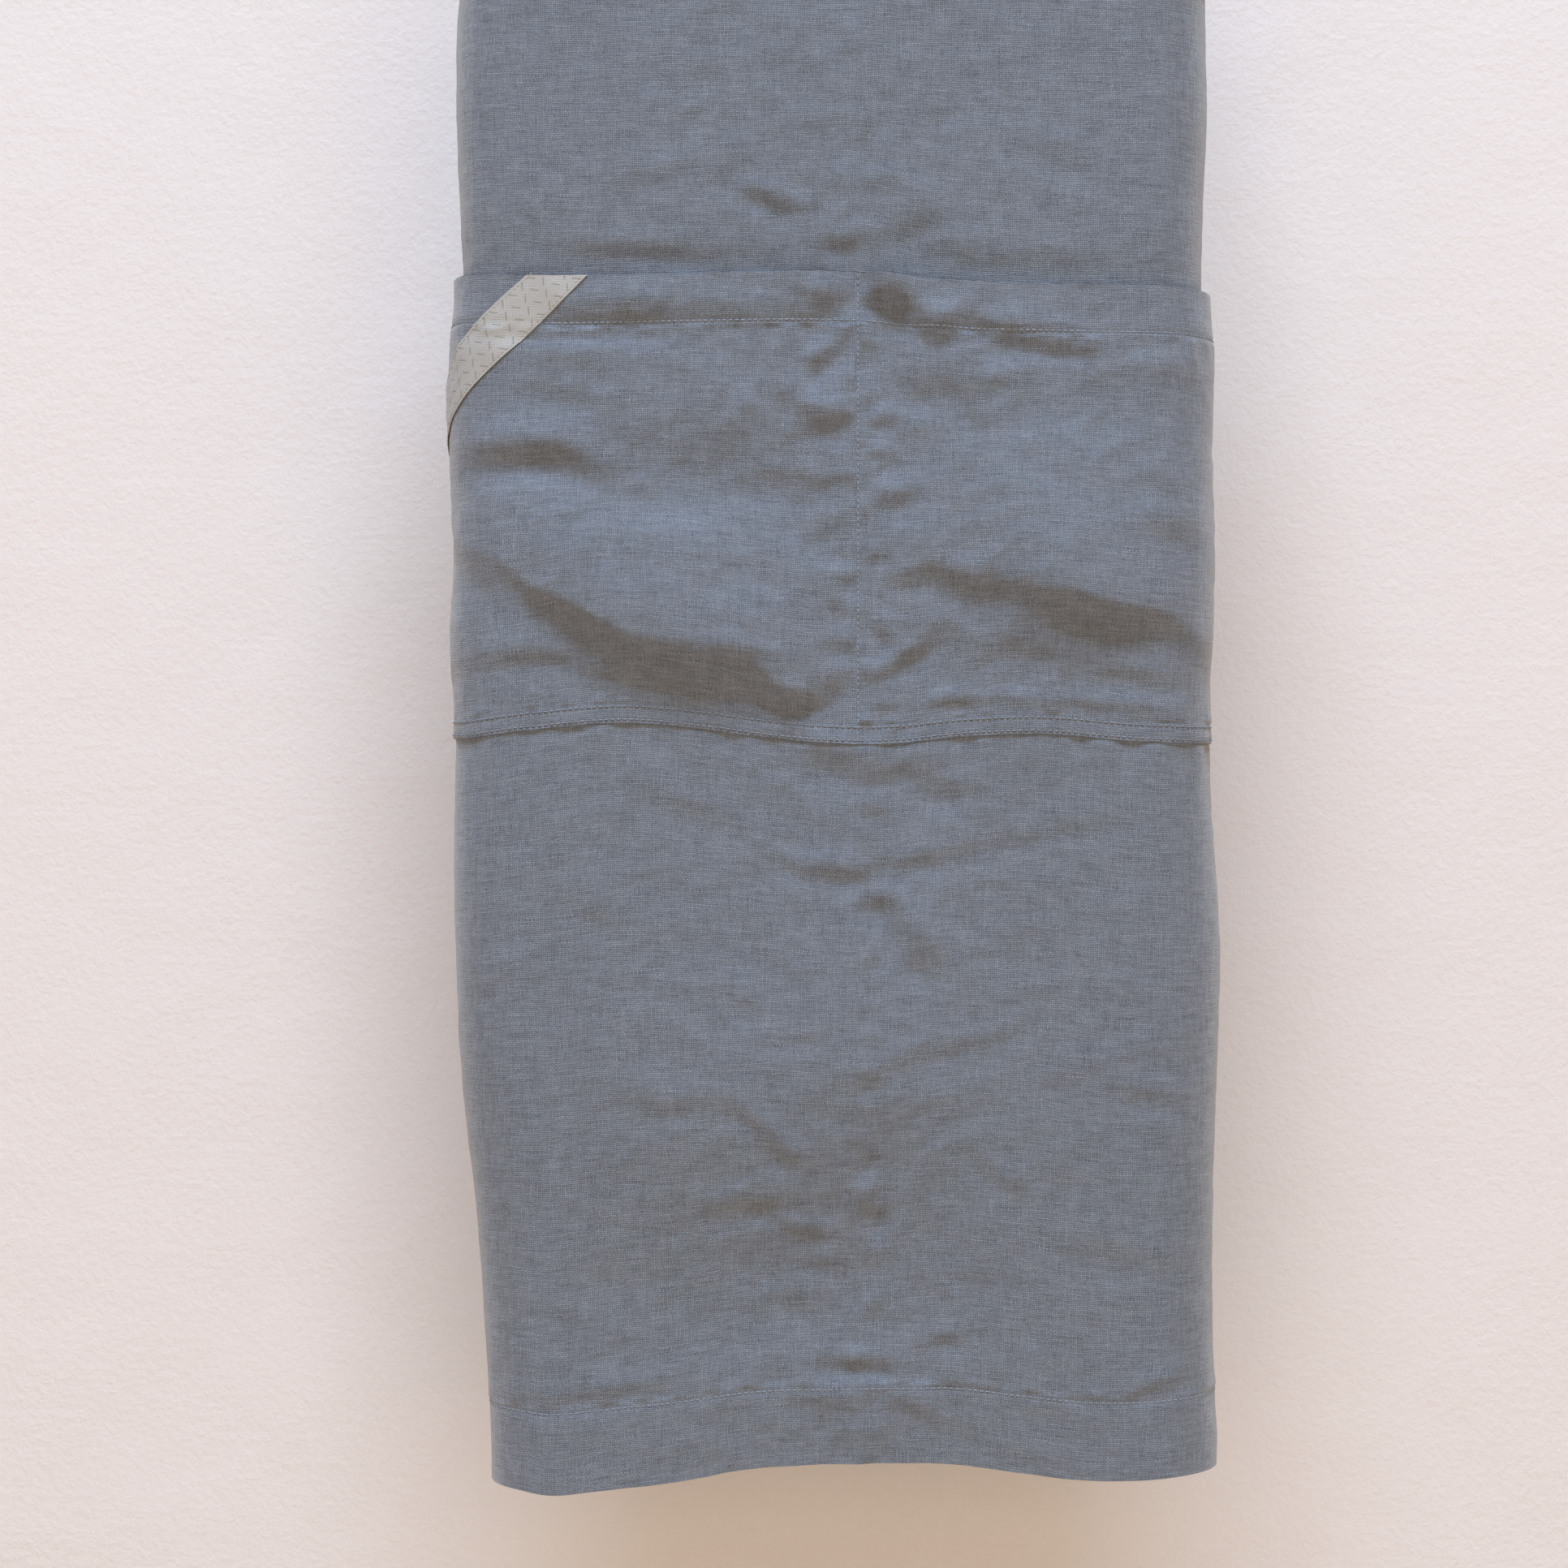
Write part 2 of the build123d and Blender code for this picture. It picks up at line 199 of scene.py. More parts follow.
# Soft folds in the body cloth: across and up from the hem's middle, heading, length, depth, width.
BODY_FOLDS = (
    (-43, 628, -22, 17, 3.9, 4.5), (-104, 604, -3, 36, 2.7, 5), (28, 620, 25, 13, 3.9, 8),
    (-8, 606, 0, 10, 2.7, 4), (-85, 642, 5, 40, 1.4, 7), (70, 606, -3, 50, 1.8, 6),
    (100, 655, -20, 22, 1.2, 6), (20, 634, -10, 16, 1.8, 6), (-14, 300, -2, 24, 3.3, 5),
    (34, 305, 8, 30, 2.2, 5), (12, 285, -40, 10, 3.9, 6), (23, 270, -50, 11, 4.2, 8),
    (31, 254, -30, 14, 4.5, 9), (-15, 356, 0, 13, 3.3, 7), (22, 352, -5, 24, 3.6, 8),
    (44, 338, -10, 12, 2.7, 6), (-50, 172, -38, 18, 2.7, 5), (-36, 157, -30, 13, 2.4, 5),
    (-27, 118, -14, 15, 3.0, 4.5), (-52, 132, 4, 24, 1.8, 5), (-18, 103, -10, 14, 2.1, 5),
    (-2, 51, -4, 18, 4.5, 4.5), (-20, 31, 0, 15, 2.2, 5), (44, 63, 12, 13, 2.2, 4), (5, 128, 20, 8, 2.4, 6),
    (70, 145, -35, 14, 2.0, 5), (142, 190, -10, 16, 2.0, 5), (-88, 182, 0, 26, 1.8, 6),
    (-125, 46, 3, 44, 2.2, 4), (-98, 330, -20, 24, 1.4, 6), (105, 320, 10, 26, 1.4, 6),
    (-45, 262, -55, 26, 1.4, 8), (28, 27, -20, 10, 2.2, 5), (145, 45, 14, 14, 2.4, 4),
    (-35, 217, 10, 14, 1.8, 4), (60, 213, 12, 26, 1.4, 5), (-40, 130, 0, 80, 16.0, 62),
    (-20, 18, 0, 90, 5.0, 24), (10, 175, 0, 26, 4.5, 38), (-130, 275, -25, 20, 1.4, 7),
    (130, 110, -8, 30, 1.4, 7),
)


def body_lift(side, s, h):
    """The body cloth's relief: sways, crumples, the pressed crease and what the stitching pulls."""
    u = SIGN[side] * s
    calm = 1 - 0.8 * hill(s - FRONT[side] - 20, 26)
    rumpled = 0.4 + 0.6 * hill(u + 12, 80)
    lift = 1.2 * ripples(u, h, 210, 1, tall=1.5)
    lift = lift + 0.70 * creases(u, h, 62, 2, tall=0.8) * calm * rumpled
    lift += (0.36 * creases(u, h, 26, 3, tall=0.9) * rumpled + 0.06 * ripples(u, h, 9, 4)) * calm
    lift += 0.6 * hill(u, 2.4) - 2.2 * hill(u - 12, 9) * (1 - smooth((h - 310) / 40))
    lift += 0.60 * ripples(u, h, 21, 5, tall=0.8) * hill(u - 7, 8) * (1 - smooth((h - 330) / 60))
    lift += 0.5 * hill(u - 14, 9) * smooth((h - 600) / 40) - 2.4 * hill(h - POCKET_TOP + 4, 24)
    for fold in BODY_FOLDS:
        lift += tuck(u, h, *fold)
    lift += diagonal(u, h, (12, 666), 65, 20, 6.5, -1.2) + diagonal(u, h, (49, 680), 68, 20, 6.5, -1.0)
    lift += diagonal(u, h, (118, 207), 20, 34, 6, 0.7) + diagonal(u, h, (-172, 254), 30, 12, 6, 0.8)
    lift += diagonal(u, h, (-57, 24), 80, 14, 6, -0.9) + diagonal(u, h, (47, 30), 60, 12, 6, -0.9)
    behind = smooth((s - FRONT[side] - ROUND * 0.7) / 30)
    flat_part = np.maximum(behind, smooth((h - BIB_TOP + 80) / 50))
    lift *= 1 - 0.85 * smooth((h - ARMHOLE + 110) / 60) * flat_part
    lift += stitched(h - HEM + STITCH_IN, 0.32)
    lift += 0.55 * puckers(u, h - HEM, 12, 15, 6) + 0.5 * puckers(u, POCKET_LOW - h, 16, 20, 7)
    return lift


def on_body(side, s, h, extra=0.0):
    """A point on the body cloth's outer face, or extra millimetres off it."""
    return place(side, s, h, body_lift(side, s, h) + CLOTH / 2 + extra)


def steps(low, high, step, *lines):
    """Grid lines from low to high, closer together beside each stitch row."""
    near = [line + d for line in lines for d in (-3.4, -2.2, -1.2, -0.6, 0, 0.6, 1.2, 2.2, 3.4)]
    near = sorted(v for v in near if low < v < high)
    plain = [v for v in np.linspace(low, high, max(2, round((high - low) / step) + 1))
             if all(abs(v - line) > 3.4 + step / 2 for line in lines) or v in (low, high)]
    return np.array(sorted(set(near) | set(plain)))


def grid_normals(points):
    """Outward unit normals of a grid of points, rows upwards and columns away from the middle."""
    across = np.gradient(points, axis=1)
    up = np.gradient(points, axis=0)
    normal = np.cross(across, up)
    return normal / np.maximum(np.linalg.norm(normal, axis=-1, keepdims=True), 1e-12)


def put(name, data):
    """Puts new data into the scene as an object."""
    thing = bpy.data.objects.new(name, data)
    bpy.context.collection.objects.link(thing)
    return thing


def cloth(name, points, normals, thickness, flat, material, keep=None):
    """A closed sheet under a grid of outer points, with its own thickness in mm at each point."""
    rows, cols = points.shape[:2]
    inner = points - normals * (np.broadcast_to(thickness, (rows, cols)) * MM)[..., None]
    verts = np.concatenate([points.reshape(-1, 3), inner.reshape(-1, 3)])
    index, back = np.arange(rows * cols).reshape(rows, cols), rows * cols
    keep = np.ones((rows - 1, cols - 1), bool) if keep is None else keep
    flip = np.einsum("ijk,ijk->ij", grid_normals(points), normals).mean() < 0
    order = (lambda q: q[::-1]) if flip else (lambda q: q)
    faces = []
    for i, j in np.argwhere(keep):
        a, b, c, d = index[i, j], index[i, j + 1], index[i + 1, j + 1], index[i + 1, j]
        faces += [order((a, b, c, d)), order((d + back, c + back, b + back, a + back))]
        for p, q, ni, nj in ((a, b, i - 1, j), (b, c, i, j + 1), (c, d, i + 1, j), (d, a, i, j - 1)):
            if not (0 <= ni < rows - 1 and 0 <= nj < cols - 1 and keep[ni, nj]):
                faces.append(order((q, p, p + back, q + back)))
    used = np.unique(np.array(faces))
    fresh = np.full(len(verts), -1)
    fresh[used] = np.arange(len(used))
    mesh = bpy.data.meshes.new(name)
    mesh.from_pydata(verts[used].tolist(), [], fresh[np.array(faces)].tolist())
    both = np.concatenate([normals.reshape(-1, 3), -normals.reshape(-1, 3)])[used]
    uv = np.tile(np.stack(np.broadcast_arrays(flat[0], flat[1]), -1).reshape(-1, 2) * MM, (2, 1))[used]
    layer = mesh.uv_layers.new(name="cloth")
    loops = np.zeros(len(mesh.loops), int)
    mesh.loops.foreach_get("vertex_index", loops)
    layer.data.foreach_set("uv", uv[loops].astype(np.float32).ravel())
    mesh.polygons.foreach_set("use_smooth", np.ones(len(mesh.polygons), bool))
    mesh.normals_split_custom_set_from_vertices(both.tolist())
    mesh.materials.append(material)
    return put(name, mesh)


def new_material(name, roughness, sheen, sheen_tint, colour):
    material = bpy.data.materials.new(name)
    material.use_nodes = True
    shader = material.node_tree.nodes["Principled BSDF"]
    shader.inputs["Roughness"].default_value = roughness
    shader.inputs["Specular IOR Level"].default_value = 0.22
    shader.inputs["Sheen Weight"].default_value = sheen
    shader.inputs["Sheen Roughness"].default_value = 0.34
    shader.inputs["Sheen Tint"].default_value = (*sheen_tint, 1)
    shader.inputs["Base Color"].default_value = (*colour, 1)
    material.diffuse_color = (*colour, 1)
    return material, shader


class Nodes:
    """A few short words for building a node tree."""

    def __init__(self, tree):
        self.tree = tree

    def add(self, kind, *links, **settings):
        node = self.tree.nodes.new(kind)
        for key, value in settings.items():
            setattr(node, key, value)
        for socket, source in enumerate(links):
            self.feed(node.inputs[socket], source)
        return node

    def feed(self, socket, source):
        if source is None:
            return
        if isinstance(source, bpy.types.NodeSocket):
            self.tree.links.new(socket, source)
        else:
            socket.default_value = source

    def math(self, operation, *values):
        return self.add("ShaderNodeMath", *values, operation=operation).outputs[0]

    def noise(self, vector, scale, detail=2.0, roughness=0.5):
        node = self.add("ShaderNodeTexNoise", vector)
        node.inputs["Scale"].default_value = scale
        node.inputs["Detail"].default_value = detail
        node.inputs["Roughness"].default_value = roughness
        return node.outputs["Fac"]

    def stretched(self, vector, x, y):
        node = self.add("ShaderNodeMapping", vector)
        node.inputs["Scale"].default_value = (x, y, 1)
        return node.outputs[0]

    def ranged(self, value, low, high, to_low, to_high):
        return self.add("ShaderNodeMapRange", value, low, high, to_low, to_high).outputs[0]

    def bumped(self, shader, height, strength, distance):
        node = self.add("ShaderNodeBump")
        node.inputs["Strength"].default_value = strength
        node.inputs["Distance"].default_value = distance
        self.feed(node.inputs["Height"], height)
        self.feed(shader.inputs["Normal"], node.outputs[0])


def plain_weave():
    """Plain weave, thread by thread: each thread has its own tone, which changes slowly along it. The tone
    also carries painted shade: lighter on each thread's crown, darker in the gaps where threads dip.
    """
    tree = bpy.data.node_groups.new("plain weave", "ShaderNodeTree")
    face = tree.interface
    face.new_socket("UV", in_out="INPUT", socket_type="NodeSocketVector")
    for name, value in (("Threads per metre", 1100.0), ("Slubs", 1.0), ("Mottle", 1.0)):
        face.new_socket(name, in_out="INPUT", socket_type="NodeSocketFloat").default_value = value
    face.new_socket("Tone", in_out="OUTPUT", socket_type="NodeSocketFloat")
    face.new_socket("Height", in_out="OUTPUT", socket_type="NodeSocketFloat")
    n = Nodes(tree)
    start, end = n.add("NodeGroupInput"), n.add("NodeGroupOutput")
    uv, pitch, slubs, mottle = (start.outputs[i] for i in range(4))
    wander = n.add("ShaderNodeTexNoise", uv)
    wander.inputs["Scale"].default_value = 170
    wander.inputs["Detail"].default_value = 3
    centred = n.add("ShaderNodeVectorMath", wander.outputs["Color"], (0.5, 0.5, 0.5), operation="SUBTRACT")
    shift = n.add("ShaderNodeVectorMath", centred.outputs[0], operation="SCALE")
    shift.inputs["Scale"].default_value = 0.0016
    moved = n.add("ShaderNodeVectorMath", uv, shift.outputs[0], operation="ADD").outputs[0]
    threads = n.add("ShaderNodeVectorMath", moved, operation="SCALE")
    n.feed(threads.inputs["Scale"], pitch)
    split = n.add("ShaderNodeSeparateXYZ", threads.outputs[0])
    u, v = split.outputs[0], split.outputs[1]
    which_u, which_v = n.math("FLOOR", u), n.math("FLOOR", v)
    crown_u = n.math("SINE", n.math("MULTIPLY", n.math("FRACT", u), pi))
    crown_v = n.math("SINE", n.math("MULTIPLY", n.math("FRACT", v), pi))
    over = n.math("ABSOLUTE", n.math("MODULO", n.math("ADD", which_u, which_v), 2.0))

    def thread_tone(thread, along, length, low, high):
        own = n.math("MULTIPLY", thread, 7.31)
        spot = n.add("ShaderNodeCombineXYZ", own, n.math("DIVIDE", along, length))
        return n.ranged(n.noise(spot.outputs[0], 1.0, 2.0, 0.6), 0.25, 0.75, low, high)

    warp_tone = thread_tone(which_u, v, 17.0, -0.27, 0.27)
    weft_tone = thread_tone(which_v, u, 19.0, -0.43, 0.43)
    warp = n.math("MULTIPLY", crown_u, n.ranged(crown_v, 0, 1, 0.45, 1))
    weft = n.math("MULTIPLY", crown_v, n.ranged(crown_u, 0, 1, 0.45, 1))

    def picked(low, high):
        pick = n.add("ShaderNodeMix", over, data_type="FLOAT")
        n.feed(pick.inputs[2], low)
        n.feed(pick.inputs[3], high)
        return pick.outputs[0]

    crown = picked(warp, weft)
    own_tone = picked(n.math("ADD", warp_tone, -0.03), n.math("ADD", weft_tone, 0.03))
    patches = n.ranged(n.noise(uv, 110, 4, 0.65), 0.3, 0.7, -0.085, 0.085)
    broad = n.ranged(n.noise(uv, 18, 2, 0.5), 0.3, 0.7, -0.025, 0.025)
    fleck = n.ranged(n.noise(n.stretched(moved, 420, 700), 1.0, 2.0, 0.7), 0.3, 0.7, -0.15, 0.15)
    mottled = n.math("MULTIPLY", n.math("ADD", patches, broad), mottle)
    tone = n.math("ADD", n.math("MULTIPLY", own_tone, slubs), mottled)
    # Painted shade: each thread is painted lighter on its crown and darker where it dips into the gaps
    # between threads.
    tone = n.math("ADD", n.math("ADD", tone, fleck), n.ranged(crown, 0, 1, 0.48, 1.28))
    n.feed(end.inputs["Tone"], n.math("MULTIPLY", tone, 0.5))
    n.feed(end.inputs["Height"], n.math("MULTIPLY", crown, n.math("ADD", own_tone, 1.0)))
    return tree


WEAVE = plain_weave()


def linen(name, colour):
    """Washed linen: matt, with a pale bloom of loose fibre where it turns away."""
    material, shader = new_material(name, 0.92, 0.87, (1.0, 0.95, 0.91), colour)
    n = Nodes(material.node_tree)
    uv = n.add("ShaderNodeUVMap", uv_map="cloth").outputs[0]
    weave = n.add("ShaderNodeGroup", node_tree=WEAVE)
    n.feed(weave.inputs["UV"], uv)
    # The weave's tone holds each thread's own tone and the painted shade in the gaps between threads; the
    # ramp paints that shade darker and warmer.
    shade = n.add("ShaderNodeValToRGB", weave.outputs["Tone"])
    deep, crown = shade.color_ramp.elements
    deep.color = (*(c * w for c, w in zip(colour, (0.16, 0.14, 0.12))), 1)
    crown.color = (*(c * w for c, w in zip(colour, (1.86, 1.90, 1.94))), 1)
    n.feed(shader.inputs["Base Color"], shade.outputs[0])
    n.bumped(shader, weave.outputs["Height"], 1.0, 0.00022)
    return material


LINEN = linen("washed linen", (0.219, 0.241, 0.280))


def body_grid(side, columns, heights):
    s, h = np.meshgrid(columns, heights)
    points = on_body(side, s, h)
    return s, h, points, grid_normals(points) * SIGN[side]


def end_of_cloth(side):
    return FRONT[side] + ROUND + WING[side]


def armhole_s(side, h):
    """Where the armhole's edge lies at a height: an ellipse from the bib's corner to the side fold."""
    drop, reach = BIB_TOP - ARMHOLE, FRONT[side] - BIB_HALF
    t = np.clip((BIB_TOP - h) / drop, 0, 1)
    return FRONT[side] - reach * np.sqrt(1 - t ** 2)


def cloth_columns(side, last):
    turn_end = FRONT[side] + ROUND * 0.6
    fine = steps(0, turn_end, 2.7)
    return np.concatenate([[0, 1.3], fine[1:], steps(turn_end, last, 5.2)[1:]])


for side in SIDES:
    hem_line = end_of_cloth(side) - BACK_HEM
    columns = cloth_columns(side, hem_line)
    heights = steps(HEM, BIB_TOP - BIB_HEM, 2.6, HEM)
    s, h, points, normals = body_grid(side, columns, heights)
    middle_s, middle_h = (s[:-1, :-1] + s[1:, 1:]) / 2, (h[:-1, :-1] + h[1:, 1:]) / 2
    inside = (middle_h < ARMHOLE - 4) | (middle_s < armhole_s(side, middle_h) - 4)
    body = cloth(f"{side}_body_cloth", points, normals, CLOTH, (s * SIGN[side], h), LINEN, inside)
    front = ["front_panel"] if side == "left" else []
    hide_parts(f"{side}_side_fold", f"{side}_wing_panel", *front)
    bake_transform(body)

# ---------------------------------------------------------------------------------------------
# Bottom hem. The lower edge is turned up twice and stitched once, so it is three plies thick
# and its fold is rounded. It goes right round both side folds to the back edges.
# ---------------------------------------------------------------------------------------------
HEM_PLIES = 1.9             # a turned hem's thickness
EDGE_STEPS = np.array([0.0, 0.12, 0.4, 0.9])
THREAD_OUT = 0.12           # a stitch row's middle, off the cloth


def rounded(distance, thickness):
    """Half a circle's depth at a distance in from a folded edge, as a share of the thickness."""
    t = np.clip(distance / (thickness / 2), 0, 1)
    return np.sqrt(np.maximum(1 - (1 - t) ** 2, 0.01))


def fold_edge(points, normals, distance, thickness):
    """Rounds an edge: moves the outer points in and thins the cloth towards the fold."""
    share = rounded(distance, thickness)
    moved = points - normals * ((1 - share) * thickness / 2 * MM)[..., None]
    return moved, thickness * share


for side in SIDES:
    columns = cloth_columns(side, end_of_cloth(side))
    heights = np.concatenate([EDGE_STEPS, steps(2.6, HEM, 2.6, HEM)])
    s, h, points, normals = body_grid(side, columns, heights)
    points, thick = fold_edge(points, normals, h, HEM_PLIES)
    hem = cloth(f"{side}_bottom_hem", points, normals, thick, (s * SIGN[side], h), LINEN)
    front = ["bottom_hem_front"] if side == "left" else []
    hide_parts(f"{side}_hem_fold", f"{side}_wing_bottom_hem", *front)
    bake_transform(hem)


def stitch_tree():
    """Threads laid end to end along a line, each a little different."""
    tree = bpy.data.node_groups.new("stitch row", "GeometryNodeTree")
    face = tree.interface
    face.new_socket("Line", in_out="INPUT", socket_type="NodeSocketGeometry")
    for name, value in (("Pitch", 0.003), ("Length", 0.0024), ("Thread", 0.0006)):
        face.new_socket(name, in_out="INPUT", socket_type="NodeSocketFloat").default_value = value
    face.new_socket("Thread material", in_out="INPUT", socket_type="NodeSocketMaterial")
    face.new_socket("Stitches", in_out="OUTPUT", socket_type="NodeSocketGeometry")
    n = Nodes(tree)
    start, end = n.add("NodeGroupInput"), n.add("NodeGroupOutput")
    line, pitch, length, thread, finish = (start.outputs[i] for i in range(5))
    path = n.add("GeometryNodeMeshToCurve", line)
    row = n.add("GeometryNodeResampleCurve", path.outputs[0], mode="LENGTH")
    n.feed(row.inputs["Length"], pitch)
    stitch = n.add("GeometryNodeMeshUVSphere")
    for socket, value in (("Segments", 8), ("Rings", 5), ("Radius", 0.5)):
        stitch.inputs[socket].default_value = value
    along = n.add("FunctionNodeAlignRotationToVector", axis="X")
    n.feed(along.inputs["Vector"], n.add("GeometryNodeInputTangent").outputs[0])
    slant = n.add("FunctionNodeRandomValue", data_type="FLOAT_VECTOR")
    slant.inputs["Min"].default_value = (0.92, 0.85, 0.85)
    slant.inputs["Max"].default_value = (1.06, 1.15, 1.15)
    slant.inputs["Seed"].default_value = 5
    size = n.add("ShaderNodeCombineXYZ", length, thread, thread)
    shape = n.add("ShaderNodeVectorMath", slant.outputs[0], size.outputs[0], operation="MULTIPLY")
    laid = n.add("GeometryNodeInstanceOnPoints", row.outputs[0])
    n.feed(laid.inputs["Instance"], stitch.outputs["Mesh"])
    n.feed(laid.inputs["Rotation"], along.outputs[0])
    n.feed(laid.inputs["Scale"], shape.outputs[0])
    real = n.add("GeometryNodeRealizeInstances", laid.outputs[0])
    soft = n.add("GeometryNodeSetShadeSmooth", real.outputs[0])
    done = n.add("GeometryNodeSetMaterial", soft.outputs[0])
    n.feed(done.inputs["Material"], finish)
    n.feed(end.inputs[0], done.outputs[0])
    return tree


STITCH_ROW = stitch_tree()


def stitches(name, rows, material, pitch=3.0, length=2.5, thread=0.78):
    """One mesh of stitches along rows of points, in metres."""
    line = bpy.data.meshes.new(name)
    ends = np.cumsum([len(row) for row in rows])
    edges = [(i, i + 1) for i in range(ends[-1] - 1) if i + 1 not in ends]
    line.from_pydata(np.concatenate(rows).tolist(), edges, [])
    source = put(name, line)
    sewing = source.modifiers.new("sewing", "NODES")
    sewing.node_group = STITCH_ROW
    given = {"Pitch": pitch * MM, "Length": length * MM, "Thread": thread * MM, "Thread material": material}
    for item in STITCH_ROW.interface.items_tree:
        if item.name in given:
            sewing[item.identifier] = given[item.name]
    evaluated = source.evaluated_get(bpy.context.evaluated_depsgraph_get())
    mesh = bpy.data.meshes.new_from_object(evaluated)
    source.modifiers.remove(sewing)
    source.data = mesh
    return source


def spun(name, colour):
    """Matt sewing thread with a fine twist."""
    material, shader = new_material(name, 0.8, 0.3, (0.95, 0.95, 0.95), colour)
    n = Nodes(material.node_tree)
    where = n.add("ShaderNodeTexCoord").outputs["Object"]
    shade = n.add("ShaderNodeVectorMath", tuple(colour), operation="SCALE")
    n.feed(shade.inputs["Scale"], n.ranged(n.noise(where, 900, 2, 0.6), 0.3, 0.7, 0.86, 1.14))
    n.feed(shader.inputs["Base Color"], shade.outputs[0])
    return material


THREAD = spun("blue-grey thread", (0.265, 0.290, 0.335))


def stitched_across(name, side, rows):
    """Stitch rows on the body cloth, given as (s, h, how far off it), that go round a side fold."""
    sewn = stitches(name, [on_body(side, *row) for row in rows], THREAD)
    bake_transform(sewn)
    return sewn


for side in SIDES:
    s = np.linspace(1.5, end_of_cloth(side) - 3, 700)
    row = (s, np.full(s.shape, HEM - STITCH_IN), THREAD_OUT)
    stitched_across(f"{side}_hem_stitches", side, [row])

# ---------------------------------------------------------------------------------------------
# Back edges and the top of the bib. Each back edge is turned in twice and stitched, and so is
# the top of the bib, which carries the straps.
# ---------------------------------------------------------------------------------------------
for side in SIDES:
    last = end_of_cloth(side)
    inward = np.concatenate([steps(last - BACK_HEM, last - 2.5, 3.0, last - BACK_HEM),
                             (last - EDGE_STEPS)[::-1]])
    s, h, points, normals = body_grid(side, inward, steps(HEM, ARMHOLE - 2, 4.0, HEM))
    points, thick = fold_edge(points, normals, last - s, HEM_PLIES)
    edge = cloth(f"{side}_back_hem", points, normals, thick, (s * SIGN[side], h), LINEN)
    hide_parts(f"{side}_wing_back_hem")
    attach(edge, f"{side}_wing")

columns = np.concatenate([-steps(0, BIB_HALF - 6, 3.0)[:0:-1], steps(0, BIB_HALF - 6, 3.0)])
low = BIB_TOP - BIB_HEM
heights = np.concatenate([steps(low, BIB_TOP - 2.6, 2.6, low), (BIB_TOP - EDGE_STEPS)[::-1]])
s, h, points, normals = body_grid("right", columns, heights)
points, thick = fold_edge(points, normals, BIB_TOP - h, HEM_PLIES)
bib_hem = cloth("bib_top_hem_cloth", points, normals, thick, (s, h), LINEN)
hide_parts("bib_top_hem")
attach(bib_hem, "front")

for side in SIDES:
    h = np.linspace(HEM + 2, ARMHOLE - 4, 500)
    s = np.full(h.shape, end_of_cloth(side) - BACK_HEM + STITCH_IN)
    sewn = stitches(f"{side}_back_hem_stitches", [on_body(side, s, h, THREAD_OUT)], THREAD)
    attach(sewn, f"{side}_wing")

x = np.linspace(5 - BIB_HALF, BIB_HALF - 5, 200)
bib_row = on_body("right", x, np.full(x.shape, BIB_TOP - BIB_HEM + STITCH_IN), THREAD_OUT)
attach(stitches("bib_hem_stitches", [bib_row], THREAD), "front")

# ---------------------------------------------------------------------------------------------
# Armhole bindings. A bias strip of the same linen, folded over the raw edge from the bib's
# corner round the side fold and along the top of the wing, and stitched through.
# ---------------------------------------------------------------------------------------------
BINDING_THICK = 2.0
DIAGONAL = 0.707            # a length seen along threads that run at 45 degrees to it


def armhole_path(side, count=150):
    """Points (s, h) along the armhole's edge, evenly spaced, and the direction into the cloth."""
    drop, reach = BIB_TOP - ARMHOLE, FRONT[side] - BIB_HALF
    quarter = np.linspace(0, pi / 2, 60)
    s = np.concatenate([FRONT[side] - reach * np.cos(quarter), [end_of_cloth(side)]])
    h = np.concatenate([BIB_TOP - drop * np.sin(quarter), [ARMHOLE]])
    length = np.concatenate([[0], np.cumsum(np.hypot(np.diff(s), np.diff(h)))])
    even = np.linspace(0, length[-1], count)
    s, h = np.interp(even, length, s), np.interp(even, length, h)
    ds, dh = np.gradient(s), np.gradient(h)
    size = np.hypot(ds, dh)
    return s, h, dh / size, -ds / size, even


for side in SIDES:
    path_s, path_h, in_s, in_h, even = armhole_path(side)
    depth = [*EDGE_STEPS, *np.linspace(1.8, BINDING - 1.2, 5), BINDING - 0.5, BINDING]
    depth = np.array(depth)[:, None]
    s, h = path_s + in_s * depth, path_h + in_h * depth
    points = on_body(side, s, h, 0.65)
    normals = grid_normals(points)
    normals *= np.sign((normals * (place(side, s, h, 1.0) - place(side, s, h, 0.0))).sum(-1).mean())
    share = np.minimum(rounded(depth, BINDING_THICK), rounded(BINDING - depth + 0.2, BINDING_THICK))
    points = points - normals * ((1 - share) * BINDING_THICK / 2 * MM)[..., None]
    flat = ((even + depth) * DIAGONAL, (even - depth) * DIAGONAL)
    binding = cloth(f"{side}_binding", points, normals, BINDING_THICK * share, flat, LINEN)
    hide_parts(f"{side}_armhole_binding", f"{side}_fold_binding", f"{side}_wing_top_binding")
    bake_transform(binding)

for side in SIDES:
    path_s, path_h, in_s, in_h = (along[4:-6] for along in armhole_path(side, 500)[:4])
    inset = BINDING - STITCH_IN
    row = (path_s + in_s * inset, path_h + in_h * inset, 0.75)
    stitched_across(f"{side}_binding_stitches", side, [row])

# ---------------------------------------------------------------------------------------------
# Pocket cloth. One wide piece, stitched down along its bottom and its middle, slack between,
# with a turned band along the mouth. Past the side folds it is sewn flat to the wings.
# ---------------------------------------------------------------------------------------------
SEAM_TOP = cad_mm("pocket_bottom_seam")[1][2]
BAND = np.ptp([cad_mm("left_pocket_top_hem")[i][2] for i in (0, 1)])
BAND_ROW = POCKET_TOP - BAND + 1.5
POCKET_RETURN = cad_mm("left_pocket_side_hem")[1][0] + FRONT["left"]
POCKET_MIDDLE = {"left": 81.0, "right": 71.0}     # where a compartment gapes most
